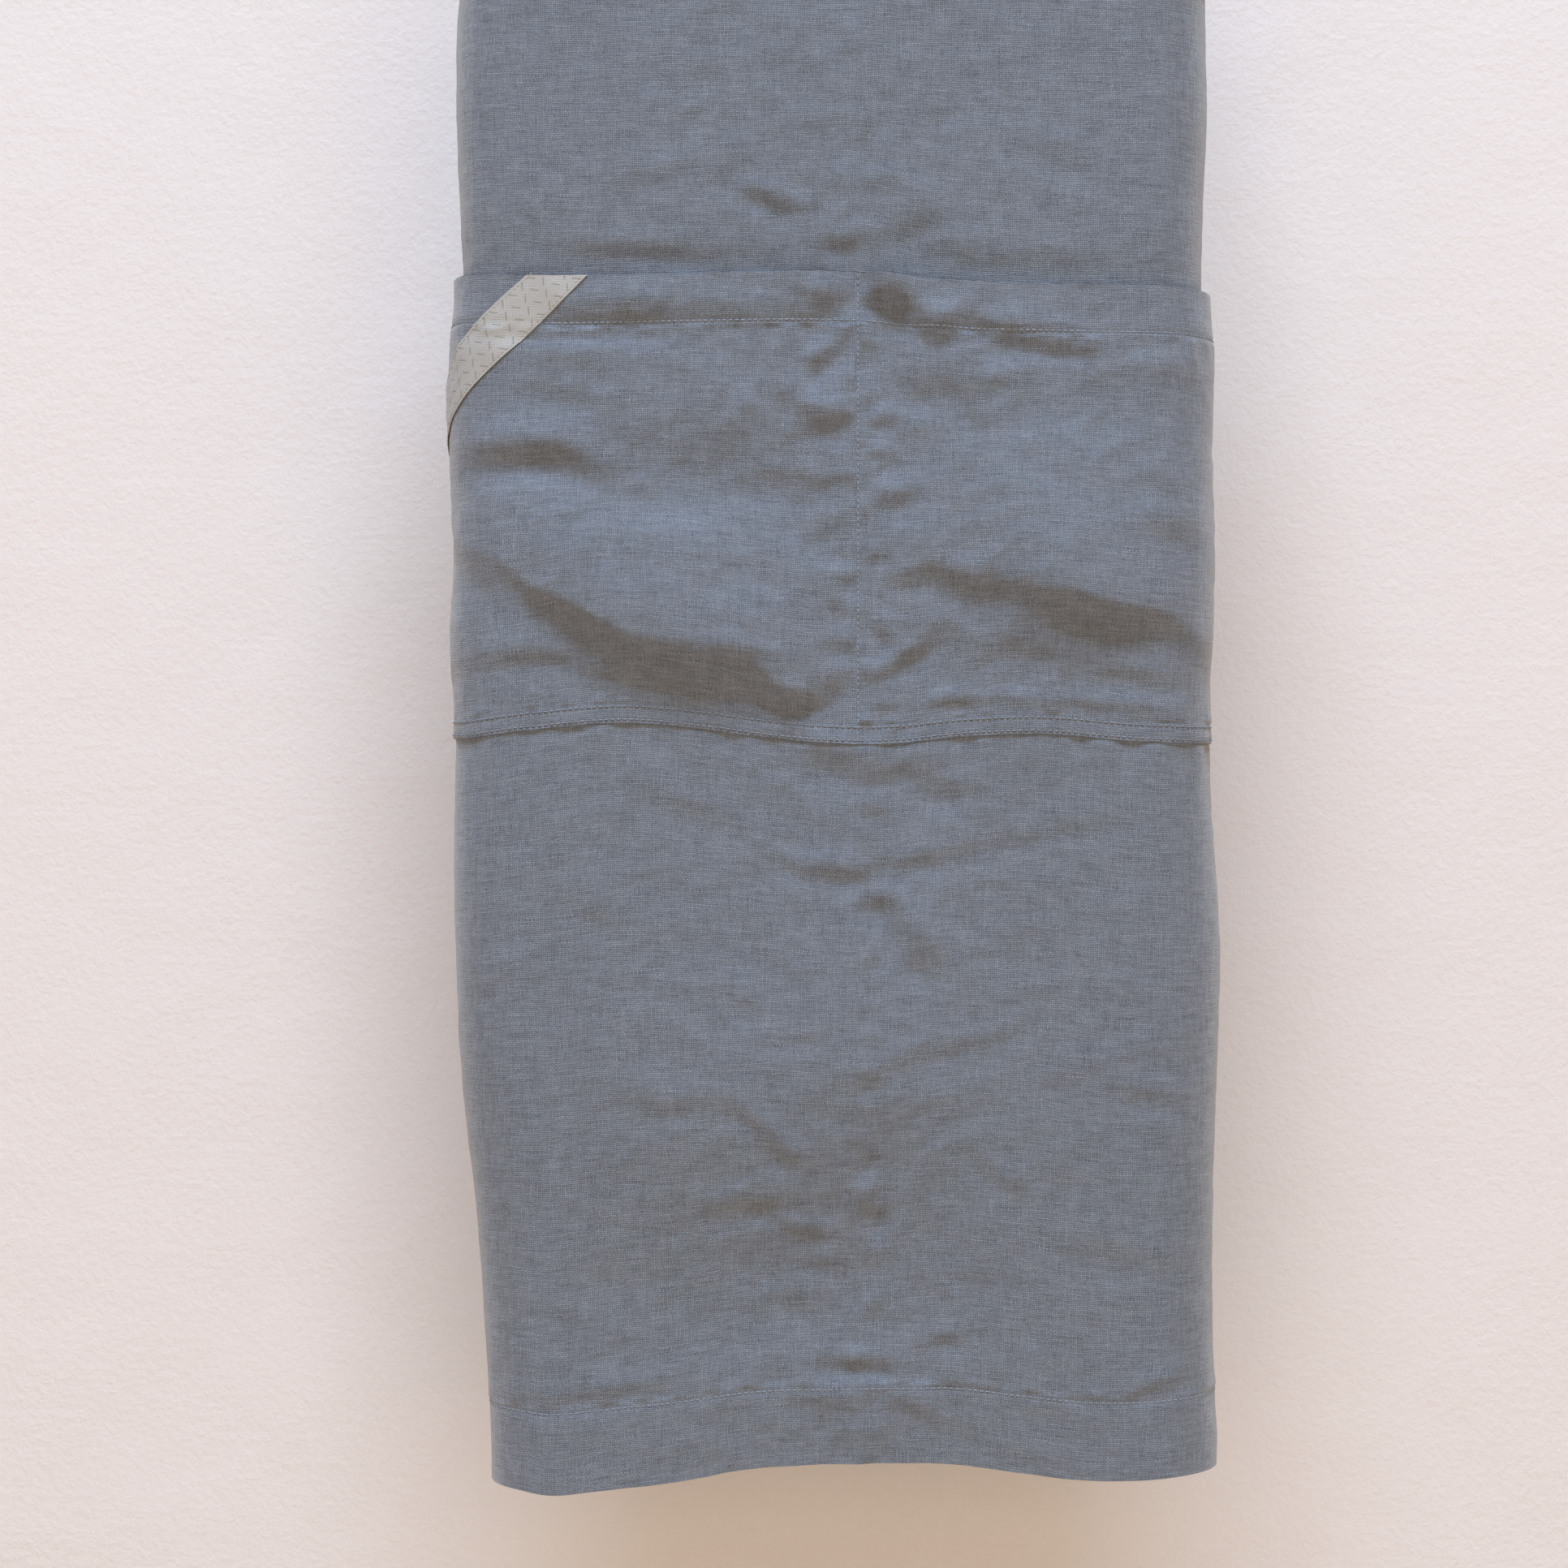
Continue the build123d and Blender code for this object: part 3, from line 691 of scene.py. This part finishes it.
# Each compartment's big sag: its line's height, its depth and its reach above and below, each as
# it goes across from the middle crease.
LEFT_SAG = dict(
    line=((-230, 482), (-195, 464), (-175, 451), (-155, 433), (-130, 420), (-110, 411), (-90, 405),
          (-72, 402), (-52, 401), (-30, 393), (-12, 389), (0, 388)),
    depth=((-235, 0.5), (-195, 2.6), (-172, 5.4), (-150, 10.6), (-125, 14.2), (-95, 16.4),
           (-65, 14.6), (-40, 10.6), (-20, 4.5), (-6, 1.0), (0, 0)),
    above=((-230, 48), (-150, 58), (-90, 64), (-30, 50)),
    below=((-230, 12), (-160, 9.2), (-130, 10), (-95, 12.8), (-60, 12), (-30, 9.2), (0, 8)))
RIGHT_SAG = dict(
    line=((0, 446), (40, 451), (60, 448), (80, 445), (100, 440), (125, 434), (140, 431),
          (155, 427), (200, 415)),
    depth=((0, 0.2), (20, 2.6), (40, 5.2), (60, 7.2), (80, 12.0), (100, 14.0), (125, 13.0),
           (140, 10.0), (155, 5.6), (172, 2.4), (215, 0.5)),
    above=((0, 34), (80, 56), (200, 66)),
    below=((0, 9), (40, 8), (62, 11), (80, 17), (95, 14.5), (110, 10.4), (140, 9), (200, 12)))
# Smaller folds in the pocket, written as the body's are.
LEFT_FOLDS = (
    (-165, 503, 3, 26, 7.0, 8), (-142, 498, -30, 16, 4.8, 8), (-118, 486, -25, 22, 2.8, 9),
    (-75, 508, -3, 62, 5.9, 20), (-160, 400, -2, 26, 3.4, 6), (-125, 388, -8, 16, 4.8, 5.5),
    (-62, 403, 0, 18, 4.2, 5), (-38, 384, -2, 18, 4.5, 4.5), (-14, 519, 15, 13, 4.2, 6),
    (-16, 549, 32, 11, 4.5, 5), (-113, 573, -2, 34, 5.0, 8), (-18, 575, 5, 15, 6.4, 9),
    (-150, 535, -12, 16, 2.2, 6), (-15, 468, 5, 18, 2.8, 6), (-30, 528, -35, 14, 2.5, 6),
    (-12, 392, 15, 11, 3.4, 5), (-90, 470, -4, 50, -2.8, 12), (-12, 431, 40, 14, 2.2, 7),
    (-183, 440, -45, 16, 1.7, 6), (-60, 572, 4, 18, 2.0, 6),
)
RIGHT_FOLDS = (
    (14, 579, 0, 11, 12.6, 11), (34, 567, -35, 13, 7.0, 8), (78, 567, -6, 26, 4.2, 6),
    (100, 559, -3, 24, 2.8, 3.6), (44, 541, -10, 30, 5.0, 11), (12, 519, 20, 9, 3.6, 5),
    (8, 503, 10, 8, 3.6, 5), (21, 484, 20, 15, 2.8, 5), (152, 470, -12, 15, 3.1, 9),
    (148, 492, -35, 11, 2.5, 6), (24, 405, 35, 15, 4.5, 5), (12, 416, -50, 10, 2.8, 5),
    (48, 381, 2, 16, 3.4, 4), (112, 379, 0, 40, 2.8, 4), (135, 397, -6, 20, 2.5, 5),
    (80, 408, -12, 17, 4.2, 9), (60, 524, -15, 16, 2.2, 7), (110, 517, 5, 40, -2.2, 12),
    (8, 455, 10, 9, 2.8, 4), (10, 381, 0, 11, 2.5, 4),
)


def pocket_lift(side, s, h):
    """How far the pocket's cloth stands off, over the body cloth's own relief."""
    u = SIGN[side] * s
    open_middle, near_middle = smooth(s / 26), smooth(s / 9)
    open_bottom = smooth((h - SEAM_TOP) / 50)
    back = FRONT[side] + ROUND * 0.5
    open_side = 1 - 0.85 * smooth((s - back) / (ROUND * 0.5 + POCKET_RETURN * 0.5))
    gap = 1.0 + 2.6 * open_middle * open_bottom * open_side
    sag, folds = (LEFT_SAG, LEFT_FOLDS) if side == "left" else (RIGHT_SAG, RIGHT_FOLDS)
    line, depth, above, below = (curve(u, *sag[key]) for key in ("line", "depth", "above", "below"))
    line = line + 1.8 * ripples(u, h * 0, 40, 41) * open_middle
    above_seam = smooth((h - SEAM_TOP + 1) / 9)
    gap += crest(u, h, line, depth, above, below) * open_side * above_seam
    for fold in folds:
        gap += tuck(u, h, *fold) * near_middle * above_seam * open_side
    if side == "left":
        lip = curve(u, (-230, 1), (-170, 2.0), (-120, 4.0), (-60, 4.2), (-22, 5.0), (0, 1.2))
        under = hill(u + 145, 34)
        gap += under * (1.5 * hill(h - 553, 6) - 1.1 * hill(h - 560.5, 2.2))
    else:
        lip = curve(u, (0, 1.2), (9, 4.5), (28, 6.5), (60, 6.0), (95, 4.0), (130, 2.6), (175, 1.0))
        gap += hill(u - 138, 26) * (1.3 * hill(h - 552, 6) - 0.5 * hill(h - 560, 2.2))
    gap += lip * smooth((h - 540) / 50) * (1 - 0.8 * smooth((s - back) / 40))
    calm = open_middle * smooth((h - SEAM_TOP) / 10) * (1 - 0.8 * hill(s - FRONT[side] - 20, 26))
    gap += (0.42 * creases(u, h, 42, 43, tall=0.8) + 0.10 * creases(u, h, 19, 44, tall=0.8) + 0.4) * calm
    gap += 1.15 * puckers(h, s, 16, 17, 45 + SIGN[side]) + 0.7 * puckers(u, h - SEAM_TOP, 9, 13, 47)
    gap += 0.8 * puckers(u, POCKET_TOP - BAND - h, 9, 14, 48)
    gap += stitched(h - SEAM_TOP, 0.3) + stitched(BAND_ROW - h, 0.42) - 0.5 * hill(s, 1.6)
    return np.maximum(gap, 0.95)


def on_pocket(side, s, h, extra=0.0):
    """A point on the pocket cloth's outer face, or extra millimetres off it."""
    return on_body(side, s, h, pocket_lift(side, s, h) + extra)


def across_pocket(side, start, end):
    """Where a pocket piece changes from the body it is sewn to, to the compartment that gapes."""
    y, z = -RADIUS * MM, HEM_Z + POCKET_TOP * MM
    return (SIGN[side] * start * MM, y, z), (SIGN[side] * end * MM, y, z)


for side in SIDES:
    middle, front = POCKET_MIDDLE[side], FRONT[side]
    last = front + ROUND + POCKET_RETURN
    columns = np.concatenate([[0, 0.6, 1.3], steps(2.4, middle, 2.0), steps(middle, front, 2.0)[1:],
                              steps(front, last - 2, 2.6)[1:], (last - EDGE_STEPS)[::-1]])
    heights = np.concatenate([steps(SEAM_TOP, POCKET_TOP - 2.4, 1.9, SEAM_TOP, POCKET_TOP - BAND),
                              (POCKET_TOP - EDGE_STEPS)[::-1]])
    s, h = np.meshgrid(columns, heights)
    points = on_pocket(side, s, h)
    normals = grid_normals(points) * SIGN[side]
    plies = CLOTH + (HEM_PLIES - CLOTH) * smooth((h - (POCKET_TOP - BAND)) / 1.5)
    points, thick = fold_edge(points, normals, POCKET_TOP - h, plies)
    pieces = []
    for part, cut in (("inner", s[0] <= middle), ("outer", (s[0] >= middle) & (s[0] <= front)),
                      ("round_side", s[0] >= front)):
        piece = cloth(f"{side}_pocket_{part}", points[:, cut], normals[:, cut], thick[:, cut],
                      (s[:, cut] * SIGN[side], h[:, cut]), LINEN)
        pieces.append(piece)
    inner, outer, round_side = pieces
    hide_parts(f"{side}_pocket_panel")
    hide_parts(f"{side}_pocket_top_hem")
    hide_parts(f"{side}_pocket_return", f"{side}_pocket_side_hem")
    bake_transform(inner)
    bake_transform(outer)
    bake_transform(round_side)

for side in SIDES:
    middle, front = POCKET_MIDDLE[side], FRONT[side]

    def band_stitches(part, low, high, **thread):
        s = np.linspace(low, high, 260)
        row = on_pocket(side, s, np.full(s.shape, BAND_ROW), 0.14)
        return stitches(f"{side}_band_{part}_stitches", [row], THREAD, **thread)

    inner = band_stitches("inner", 2, middle, length=2.75, thread=0.95)
    outer = band_stitches("outer", middle + 3, front, length=2.75, thread=0.95)
    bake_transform(inner)
    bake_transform(outer)
    round_side = band_stitches("side", front + 3, front + ROUND + POCKET_RETURN - 3)
    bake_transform(round_side)

# ---------------------------------------------------------------------------------------------
# Pocket bottom seam. The lower edge of the pocket is folded under and held to the body with
# two stitch rows, so it is a flat ledge 9 mm high with a rounded lower edge.
# ---------------------------------------------------------------------------------------------
LEDGE = 1.25                # how far the folded edge stands off the body cloth
for side in SIDES:
    columns = np.concatenate([[0, 1.3], steps(2.6, FRONT[side] + ROUND + POCKET_RETURN, 2.6)])
    heights = np.concatenate([POCKET_LOW + EDGE_STEPS, steps(POCKET_LOW + 1.3, SEAM_TOP, 0.8)])
    s, h = np.meshgrid(columns, heights)
    lift = body_lift(side, s, h) + CLOTH / 2 + LEDGE - 0.25 * hill(h - POCKET_LOW - 1.6, 0.8)
    lift += 0.25 * puckers(SIGN[side] * s, h - POCKET_LOW, 6, 12, 47)
    top = pocket_lift(side, s, h * 0 + SEAM_TOP) + body_lift(side, s, h) + CLOTH / 2
    lift += (top - lift) * smooth((h - SEAM_TOP + 3) / 3)
    points = place(side, s, h, lift)
    normals = grid_normals(points) * SIGN[side]
    points, thick = fold_edge(points, normals, h - POCKET_LOW, 2 * CLOTH)
    ledge = cloth(f"{side}_pocket_bottom_seam", points, normals, thick, (s * SIGN[side], h), LINEN)
    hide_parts("pocket_bottom_seam" if side == "left" else "pocket_centre_seam")
    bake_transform(ledge)

for side in SIDES:
    s = np.linspace(1.5, FRONT[side] + ROUND + POCKET_RETURN - 2, 700)
    rows = [(s, np.full(s.shape, h), LEDGE + 0.1) for h in (POCKET_LOW + 1.7, SEAM_TOP - 0.8)]
    stitched_across(f"{side}_pocket_seam_stitches", side, rows)

h = np.linspace(POCKET_LOW + 2, POCKET_TOP - 2, 400)
zero = 0 * h
off = np.where(h > SEAM_TOP, pocket_lift("right", zero, h), LEDGE)
middle_row = on_body("right", zero, h, off + THREAD_OUT)
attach(stitches("centre_seam_stitches", [middle_row], THREAD), "front")
h = np.linspace(POCKET_TOP - 9, POCKET_TOP - 1, 40)
zero = 0 * h
crease_lift = body_lift("right", zero, h) + CLOTH / 2
tack = [place("right", zero + x, h, crease_lift + pocket_lift("right", zero + abs(x), h) + 0.2)
        for x in (-1.1, 1.1)]
bartack = stitches("pocket_bartack_thread", tack, THREAD, pitch=1.6, length=1.8, thread=0.7)
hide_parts("pocket_bartack")
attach(bartack, "front")

# ---------------------------------------------------------------------------------------------
# Corner tape. A plain cream cotton herringbone tape, sewn slantwise across the pocket's left
# corner: from under the mouth's fold, down round the side fold, to the pocket's edge behind.
# ---------------------------------------------------------------------------------------------
TAPE_HALF = 21.4 / 1.414     # half of the tape's width, measured level across its slant
TAPE_START = FRONT["left"] - 13.9                 # its middle at the mouth
TAPE_END = FRONT["left"] + ROUND + POCKET_RETURN - 1
TAPE_THICK = 0.7


def herringbone():
    """Fine twill that changes direction every few threads, as a mask of raised thread."""
    tree = bpy.data.node_groups.new("herringbone", "ShaderNodeTree")
    face = tree.interface
    face.new_socket("UV", in_out="INPUT", socket_type="NodeSocketVector")
    face.new_socket("Rib width", in_out="INPUT", socket_type="NodeSocketFloat").default_value = 0.0034
    face.new_socket("Thread", in_out="INPUT", socket_type="NodeSocketFloat").default_value = 0.0011
    face.new_socket("Raised", in_out="OUTPUT", socket_type="NodeSocketFloat")
    n = Nodes(tree)
    start, end = n.add("NodeGroupInput"), n.add("NodeGroupOutput")
    split = n.add("ShaderNodeSeparateXYZ", start.outputs[0])
    along, across = split.outputs[0], split.outputs[1]
    zigzag = n.math("PINGPONG", across, start.outputs[1])
    twill = n.math("DIVIDE", n.math("ADD", along, zigzag), start.outputs[2])
    n.feed(end.inputs[0], n.math("SINE", n.math("MULTIPLY", n.math("FRACT", twill), pi)))
    return tree


def tape_cloth(name, colour):
    """Cream herringbone with a woven figure of small slanting dashes in grey-green, and painted shade in
    the twill's sunken lines.
    """
    material, shader = new_material(name, 0.85, 0.25, (1, 1, 1), colour)
    n = Nodes(material.node_tree)
    uv = n.add("ShaderNodeUVMap", uv_map="cloth").outputs[0]
    twill = n.add("ShaderNodeGroup", uv, node_tree=herringbone()).outputs[0]
    uneven = n.ranged(n.noise(uv, 900, 3, 0.6), 0.3, 0.7, -0.05, 0.05)
    # Painted shade: the sunken lines between the raised twill threads are painted darker.
    tone = n.math("ADD", n.ranged(twill, 0, 1, 0.80, 1.03), uneven)
    cell = n.add("ShaderNodeSeparateXYZ", n.stretched(uv, 1 / 0.0062, 1 / 0.0053))
    row = n.math("FLOOR", cell.outputs[1])
    slid = n.math("ADD", cell.outputs[0], n.math("MULTIPLY", row, 0.5))
    across = n.math("SUBTRACT", n.math("FRACT", slid), 0.5)
    up = n.math("SUBTRACT", n.math("FRACT", cell.outputs[1]), 0.5)
    odd = n.math("ABSOLUTE", n.math("MODULO", n.math("FLOOR", slid), 2.0))
    lean = n.math("SUBTRACT", n.math("MULTIPLY", odd, 2.0), 1.0)
    slanted = n.math("MULTIPLY", n.math("MULTIPLY", up, lean), 0.7)
    off_line = n.math("ABSOLUTE", n.math("SUBTRACT", across, slanted))
    ends = n.ranged(n.math("ABSOLUTE", up), 0.27, 0.33, 1, 0)
    dash = n.math("MULTIPLY", n.ranged(off_line, 0.05, 0.09, 1, 0), ends)
    cream = n.add("ShaderNodeVectorMath", tuple(colour), operation="SCALE")
    n.feed(cream.inputs["Scale"], tone)
    figure = n.add("ShaderNodeMix", data_type="RGBA")
    n.feed(figure.inputs[0], n.math("MULTIPLY", dash, 0.8))
    n.feed(figure.inputs[6], cream.outputs[0])
    figure.inputs[7].default_value = (0.27, 0.285, 0.235, 1)
    n.feed(shader.inputs["Base Color"], figure.outputs[2])
    n.bumped(shader, twill, 0.7, 0.0002)
    return material


CREAM_TAPE = tape_cloth("cream tape", (0.505, 0.49, 0.47))
CREAM_THREAD = spun("cream thread", (0.52, 0.50, 0.465))


def tape_points(s, h, extra=0.0):
    return on_pocket("left", s, h, TAPE_THICK + 0.12 + extra)


def tape_part(name, low, high):
    """The stretch of tape between two distances from the middle crease."""
    drops = np.concatenate([[0, 0.4], np.arange(1.6, POCKET_TOP - POCKET_LOW, 1.6)])
    near = np.maximum(TAPE_START + drops - TAPE_HALF, low)
    far = np.minimum(TAPE_START + drops + TAPE_HALF, high)
    drops, near, far = (v[far - near > 0.05] for v in (drops, near, far))
    share = np.concatenate([[0, 0.015, 0.05], np.linspace(0.12, 0.88, 12), [0.95, 0.985, 1]])
    s = near[:, None] + (far - near)[:, None] * share
    h = POCKET_TOP - 0.2 - drops[:, None] + 0 * s
    points = tape_points(s, h)
    normals = grid_normals(points)
    outward = place("left", s, h, 1.0) - place("left", s, h, 0.0)
    normals *= np.sign((normals * outward).sum(-1, keepdims=True))
    across = s + h - TAPE_START - POCKET_TOP + 2 * TAPE_HALF
    flat = ((s - h) * DIAGONAL, across * DIAGONAL)
    tape = cloth(name, points, normals, TAPE_THICK, flat, CREAM_TAPE)
    return tape


def tape_stitches(name, low, high, count):
    """Stitches along both edges of the tape, between two distances from the middle crease."""
    rows = []
    for edge in (2.0 - TAPE_HALF, TAPE_HALF - 2.0):
        drop = np.linspace(max(low - TAPE_START - edge, 1.5), high - TAPE_START - edge, count)
        rows.append(tape_points(TAPE_START + edge + drop, POCKET_TOP - drop, 0.05))
    return stitches(name, rows, CREAM_THREAD, pitch=2.6, length=2.1, thread=0.4)


fold_s, pocket_change = FRONT["left"], across_pocket("left", FRONT["left"], POCKET_MIDDLE["left"] + 3)
tape_front = tape_part("corner_tape_front", 0, fold_s)
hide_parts("corner_tape")
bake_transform(tape_front)
tape_round = tape_part("corner_tape_round", fold_s, TAPE_END)
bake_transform(tape_round)
sewn = tape_stitches("corner_tape_round_stitches", fold_s + 1, TAPE_END - 2, 300)
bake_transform(sewn)
sewn = tape_stitches("corner_tape_front_stitches", 0, fold_s - 1, 160)
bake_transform(sewn)

# ---------------------------------------------------------------------------------------------
# Straps. Each is a flat double strip of the linen, sewn behind the bib's top hem, that goes up
# over the peg, crosses the other and is sewn inside the opposite back edge.
# ---------------------------------------------------------------------------------------------
STRAP_WIDE = 40.0
STRAP_THICK = 1.8
STRAP_DEEP = RADIUS - HEM_PLIES / 2 - STRAP_THICK / 2 - 0.3
PEG_ROUND = 10.9            # the bend at the peg, to the middle of the strap
SPREAD = 23.0               # from the peg's middle to the middle of each strap
STRAP_ENDS = BIB_HALF - STRAP_WIDE / 2            # a strap's middle on the bib


def strap_ribbon(name, rows):
    """A flat strap along rows of (middle, direction of its width), in metres."""
    middles = np.array([row[0] for row in rows])
    travel = np.gradient(middles, axis=0)
    travel /= np.linalg.norm(travel, axis=1, keepdims=True)
    widths = np.array([row[1] for row in rows], float)
    widths -= travel * (widths * travel).sum(1, keepdims=True)
    widths /= np.linalg.norm(widths, axis=1, keepdims=True)
    outs = np.cross(travel, widths)
    half = STRAP_WIDE / 2
    edges = np.array([half, half - 0.1, half - 0.45])
    share = np.concatenate([-edges, np.linspace(1 - half, half - 1, 11), edges[::-1]])
    thick = STRAP_THICK * rounded(half - abs(share), STRAP_THICK)
    length = np.concatenate([[0], np.cumsum(np.linalg.norm(np.diff(middles, axis=0), axis=1))]) / MM
    crown = 0.12 * np.cos(share / half * pi * 2.5)
    points = (middles[:, None] + widths[:, None] * share[:, None] * MM
              + outs[:, None] * ((thick / 2 + crown)[:, None] * MM))
    normals = np.broadcast_to(outs[:, None], points.shape).copy()
    strap = cloth(name, points, normals, thick, (share, length[:, None]), LINEN)
    in_from_edge, off = widths * (half - 3) * MM, outs * (STRAP_THICK / 2 + 0.1) * MM
    return strap, [middles + in_from_edge * edge + off * face for edge in (-1, 1) for face in (-1, 1)]


def strap_rows(side):
    """The front leg with the turn over the peg, and the back leg with its sewn end."""
    sign, other = SIGN[side], OTHER[side]
    foot = np.array([sign * STRAP_ENDS * MM, -STRAP_DEEP * MM, (BIB_TOP + 8) * MM + HEM_Z])
    end_x = (SIGN[other] * FRONT[other] + sign * (WING[other] - STRAP_WIDE / 2 - 3)) * MM
    tail = np.array([end_x, (STRAP_DEEP - 0.3) * MM, (ARMHOLE - 3) * MM + HEM_Z])
    front_angle = pi - np.arctan2(abs(foot[0]), -foot[2])
    back_angle = np.arctan2(abs(tail[0]), -tail[2])

    def on_peg(a):
        return np.array([-sign * PEG_ROUND * np.cos(a), sign * SPREAD, PEG_ROUND * np.sin(a)]) * MM

    def sewn_down(start, *drops):
        return [(start - np.array([0, 0, drop * MM]), (sign, 0, 0)) for drop in drops]

    def leg(start, end, turn_from, turn_to, bow):
        for t in np.linspace(0, 1, 41):
            turn = (turn_from + (turn_to - turn_from) * smooth(t)) * pi / 2
            sway = bow * np.sin(pi * t) * MM
            middle = start + (end - start) * t + np.array([sway * sign, 0, 0])
            yield middle, (sign * np.cos(turn), np.sin(turn), 0)

    first, last = on_peg(front_angle), on_peg(back_angle) - np.array([0, 0, 0.3 * MM])
    over = [(on_peg(angle), (0, 1, 0)) for angle in np.linspace(front_angle, back_angle, 25)[1:]]
    front_leg = sewn_down(foot, 33, 27, 20, 14, 8, 4) + list(leg(foot, first, 0, 1, 1.0)) + over
    end = sewn_down(tail, 4, 9, 16, 24, 32, 40, 48, 54, 58.5, 60.3)
    return front_leg, list(leg(last, tail, 1, 0, -1.0)) + end


def box_stitch(x, low, high, y):
    """A sewn rectangle with one diagonal."""
    left, right = x - STRAP_WIDE / 2 + 5, x + STRAP_WIDE / 2 - 5
    corners = np.array([(left, y, low), (right, y, low), (right, y, high), (left, y, high),
                        (left, y, low), (right, y, high)]) * MM + np.array([0, 0, HEM_Z])
    t = np.linspace(0.02, 0.98, 14)[:, None]
    return [a + (b - a) * t for a, b in zip(corners[:-1], corners[1:])]


for side in SIDES:
    front_leg, back_leg = strap_rows(side)
    strap, sewing = strap_ribbon(f"{side}_strap_front", front_leg)
    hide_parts(f"{side}_strap")
    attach(strap, "front")
    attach(stitches(f"{side}_strap_front_stitches", [row[6:] for row in sewing], THREAD), "front")
    lap = [(where * np.array([1.012, 1, 1.012]), width) for where, width in front_leg[-3:-1]]
    back, sewing = strap_ribbon(f"{side}_strap_back", lap + back_leg)
    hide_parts(f"{side}_strap_back_leg", f"{side}_strap_end")
    top, tail = tuple(back_leg[0][0]), tuple(back_leg[40][0])
    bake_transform(back)
    sewn = stitches(f"{side}_strap_back_stitches", [row[3:44] for row in sewing], THREAD)
    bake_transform(sewn)
    inside = STRAP_DEEP - 0.3 - STRAP_THICK / 2 - 0.15
    box = box_stitch(tail[0] / MM, ARMHOLE - 59, ARMHOLE - 8, inside)
    box = stitches(f"{side}_strap_end_box", box, THREAD)
    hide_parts(f"{side}_strap_end_stitches")
    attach(box, f"{OTHER[side]}_wing")

bib_boxes = []
for side in SIDES:
    bib_boxes += box_stitch(SIGN[side] * STRAP_ENDS, BIB_TOP - 20, BIB_TOP - 5, -RADIUS - 0.8)
bib_box = stitches("bib_strap_box", bib_boxes, THREAD)
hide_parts("bib_strap_stitches")
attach(bib_box, "front")

# ---------------------------------------------------------------------------------------------
# The wall that it hangs in front of, the floor, soft light from above and the camera.
# ---------------------------------------------------------------------------------------------


def flat_stage(name, corners, material):
    mesh = bpy.data.meshes.new(name)
    mesh.from_pydata(corners, [], [(0, 1, 2, 3)])
    mesh.materials.append(material)
    put(name, mesh)


def plaster(name, colour):
    """Uneven matt plaster that can be looked through from behind."""
    material, shader = new_material(name, 0.95, 0.0, (1, 1, 1), colour)
    n = Nodes(material.node_tree)
    where = n.add("ShaderNodeTexCoord").outputs["Object"]
    broad = n.math("MULTIPLY", n.noise(where, 12, 3, 0.5), 3.0)
    n.bumped(shader, n.math("ADD", n.noise(where, 230, 4, 0.6), broad), 0.35, 0.002)
    clear = n.add("ShaderNodeBsdfTransparent")
    mix = n.add("ShaderNodeMixShader")
    n.feed(mix.inputs[0], n.add("ShaderNodeNewGeometry").outputs["Backfacing"])
    n.feed(mix.inputs[1], shader.outputs[0])
    n.feed(mix.inputs[2], clear.outputs[0])
    n.feed(material.node_tree.nodes["Material Output"].inputs["Surface"], mix.outputs[0])
    return material


WALL_Y = 0.165
FLOOR_Z = HEM_Z - 0.62
flat_stage("wall", [(-4, WALL_Y, FLOOR_Z), (4, WALL_Y, FLOOR_Z), (4, WALL_Y, 2.2), (-4, WALL_Y, 2.2)],
           plaster("pale plaster", (0.87, 0.805, 0.775)))
flat_stage("floor", [(-4, -4, FLOOR_Z), (4, -4, FLOOR_Z), (4, 4, FLOOR_Z), (-4, 4, FLOOR_Z)],
           plaster("clay floor", (0.58, 0.455, 0.34)))


def area_light(name, where, size, power, colour):
    """A soft light that faces the middle of the garment."""
    data = bpy.data.lights.new(name, "AREA")
    data.shape, data.size, data.size_y = "RECTANGLE", *size
    data.energy, data.color = power, colour
    light = put(name, data)
    light.location = where
    towards = Vector((0, 0, middle_z)) - Vector(where)
    light.rotation_euler = towards.to_track_quat("-Z", "Y").to_euler()


middle_z = HEM_Z + 0.40
area_light("sky", (-0.15, -2.3, middle_z + 4.3), (2.9, 1.4), 284, (0.565, 0.745, 1.0))
area_light("front fill", (0.2, -3.0, middle_z - 0.1), (3.2, 1.6), 28, (1.0, 0.835, 0.645))
area_light("behind", (0.3, 2.6, middle_z + 1.3), (2.6, 2.0), 135, (0.80, 0.88, 1.0))
world = bpy.data.worlds.new("room")
world.use_nodes = True
n = Nodes(world.node_tree)
warm = world.node_tree.nodes["Background"]
warm.inputs["Color"].default_value, warm.inputs["Strength"].default_value = (1.0, 0.80, 0.60, 1), 0.34
pale = n.add("ShaderNodeBackground", (0.80, 0.78, 0.77, 1), 0.9)
by_eye = n.add("ShaderNodeLightPath").outputs["Is Camera Ray"]
seen = n.add("ShaderNodeMixShader", by_eye, warm.outputs[0], pale.outputs[0])
n.feed(world.node_tree.nodes["World Output"].inputs[0], seen.outputs[0])
bpy.context.scene.world = world
bpy.context.scene.view_settings.view_transform = "Standard"

CAMERA_AWAY = 1550          # from the front cloth to the camera
VIEW_WIDE = 772.8           # what it sees across, at the front cloth
camera_data = bpy.data.cameras.new("camera")
camera_data.sensor_width = 36
camera_data.lens = 36 * CAMERA_AWAY / VIEW_WIDE
camera = put("camera", camera_data)
camera.location = (-36.4 * MM, (-RADIUS - CAMERA_AWAY) * MM, HEM_Z + 342.4 * MM)
camera.rotation_euler = (radians(90), 0, 0)
bpy.context.scene.camera = camera
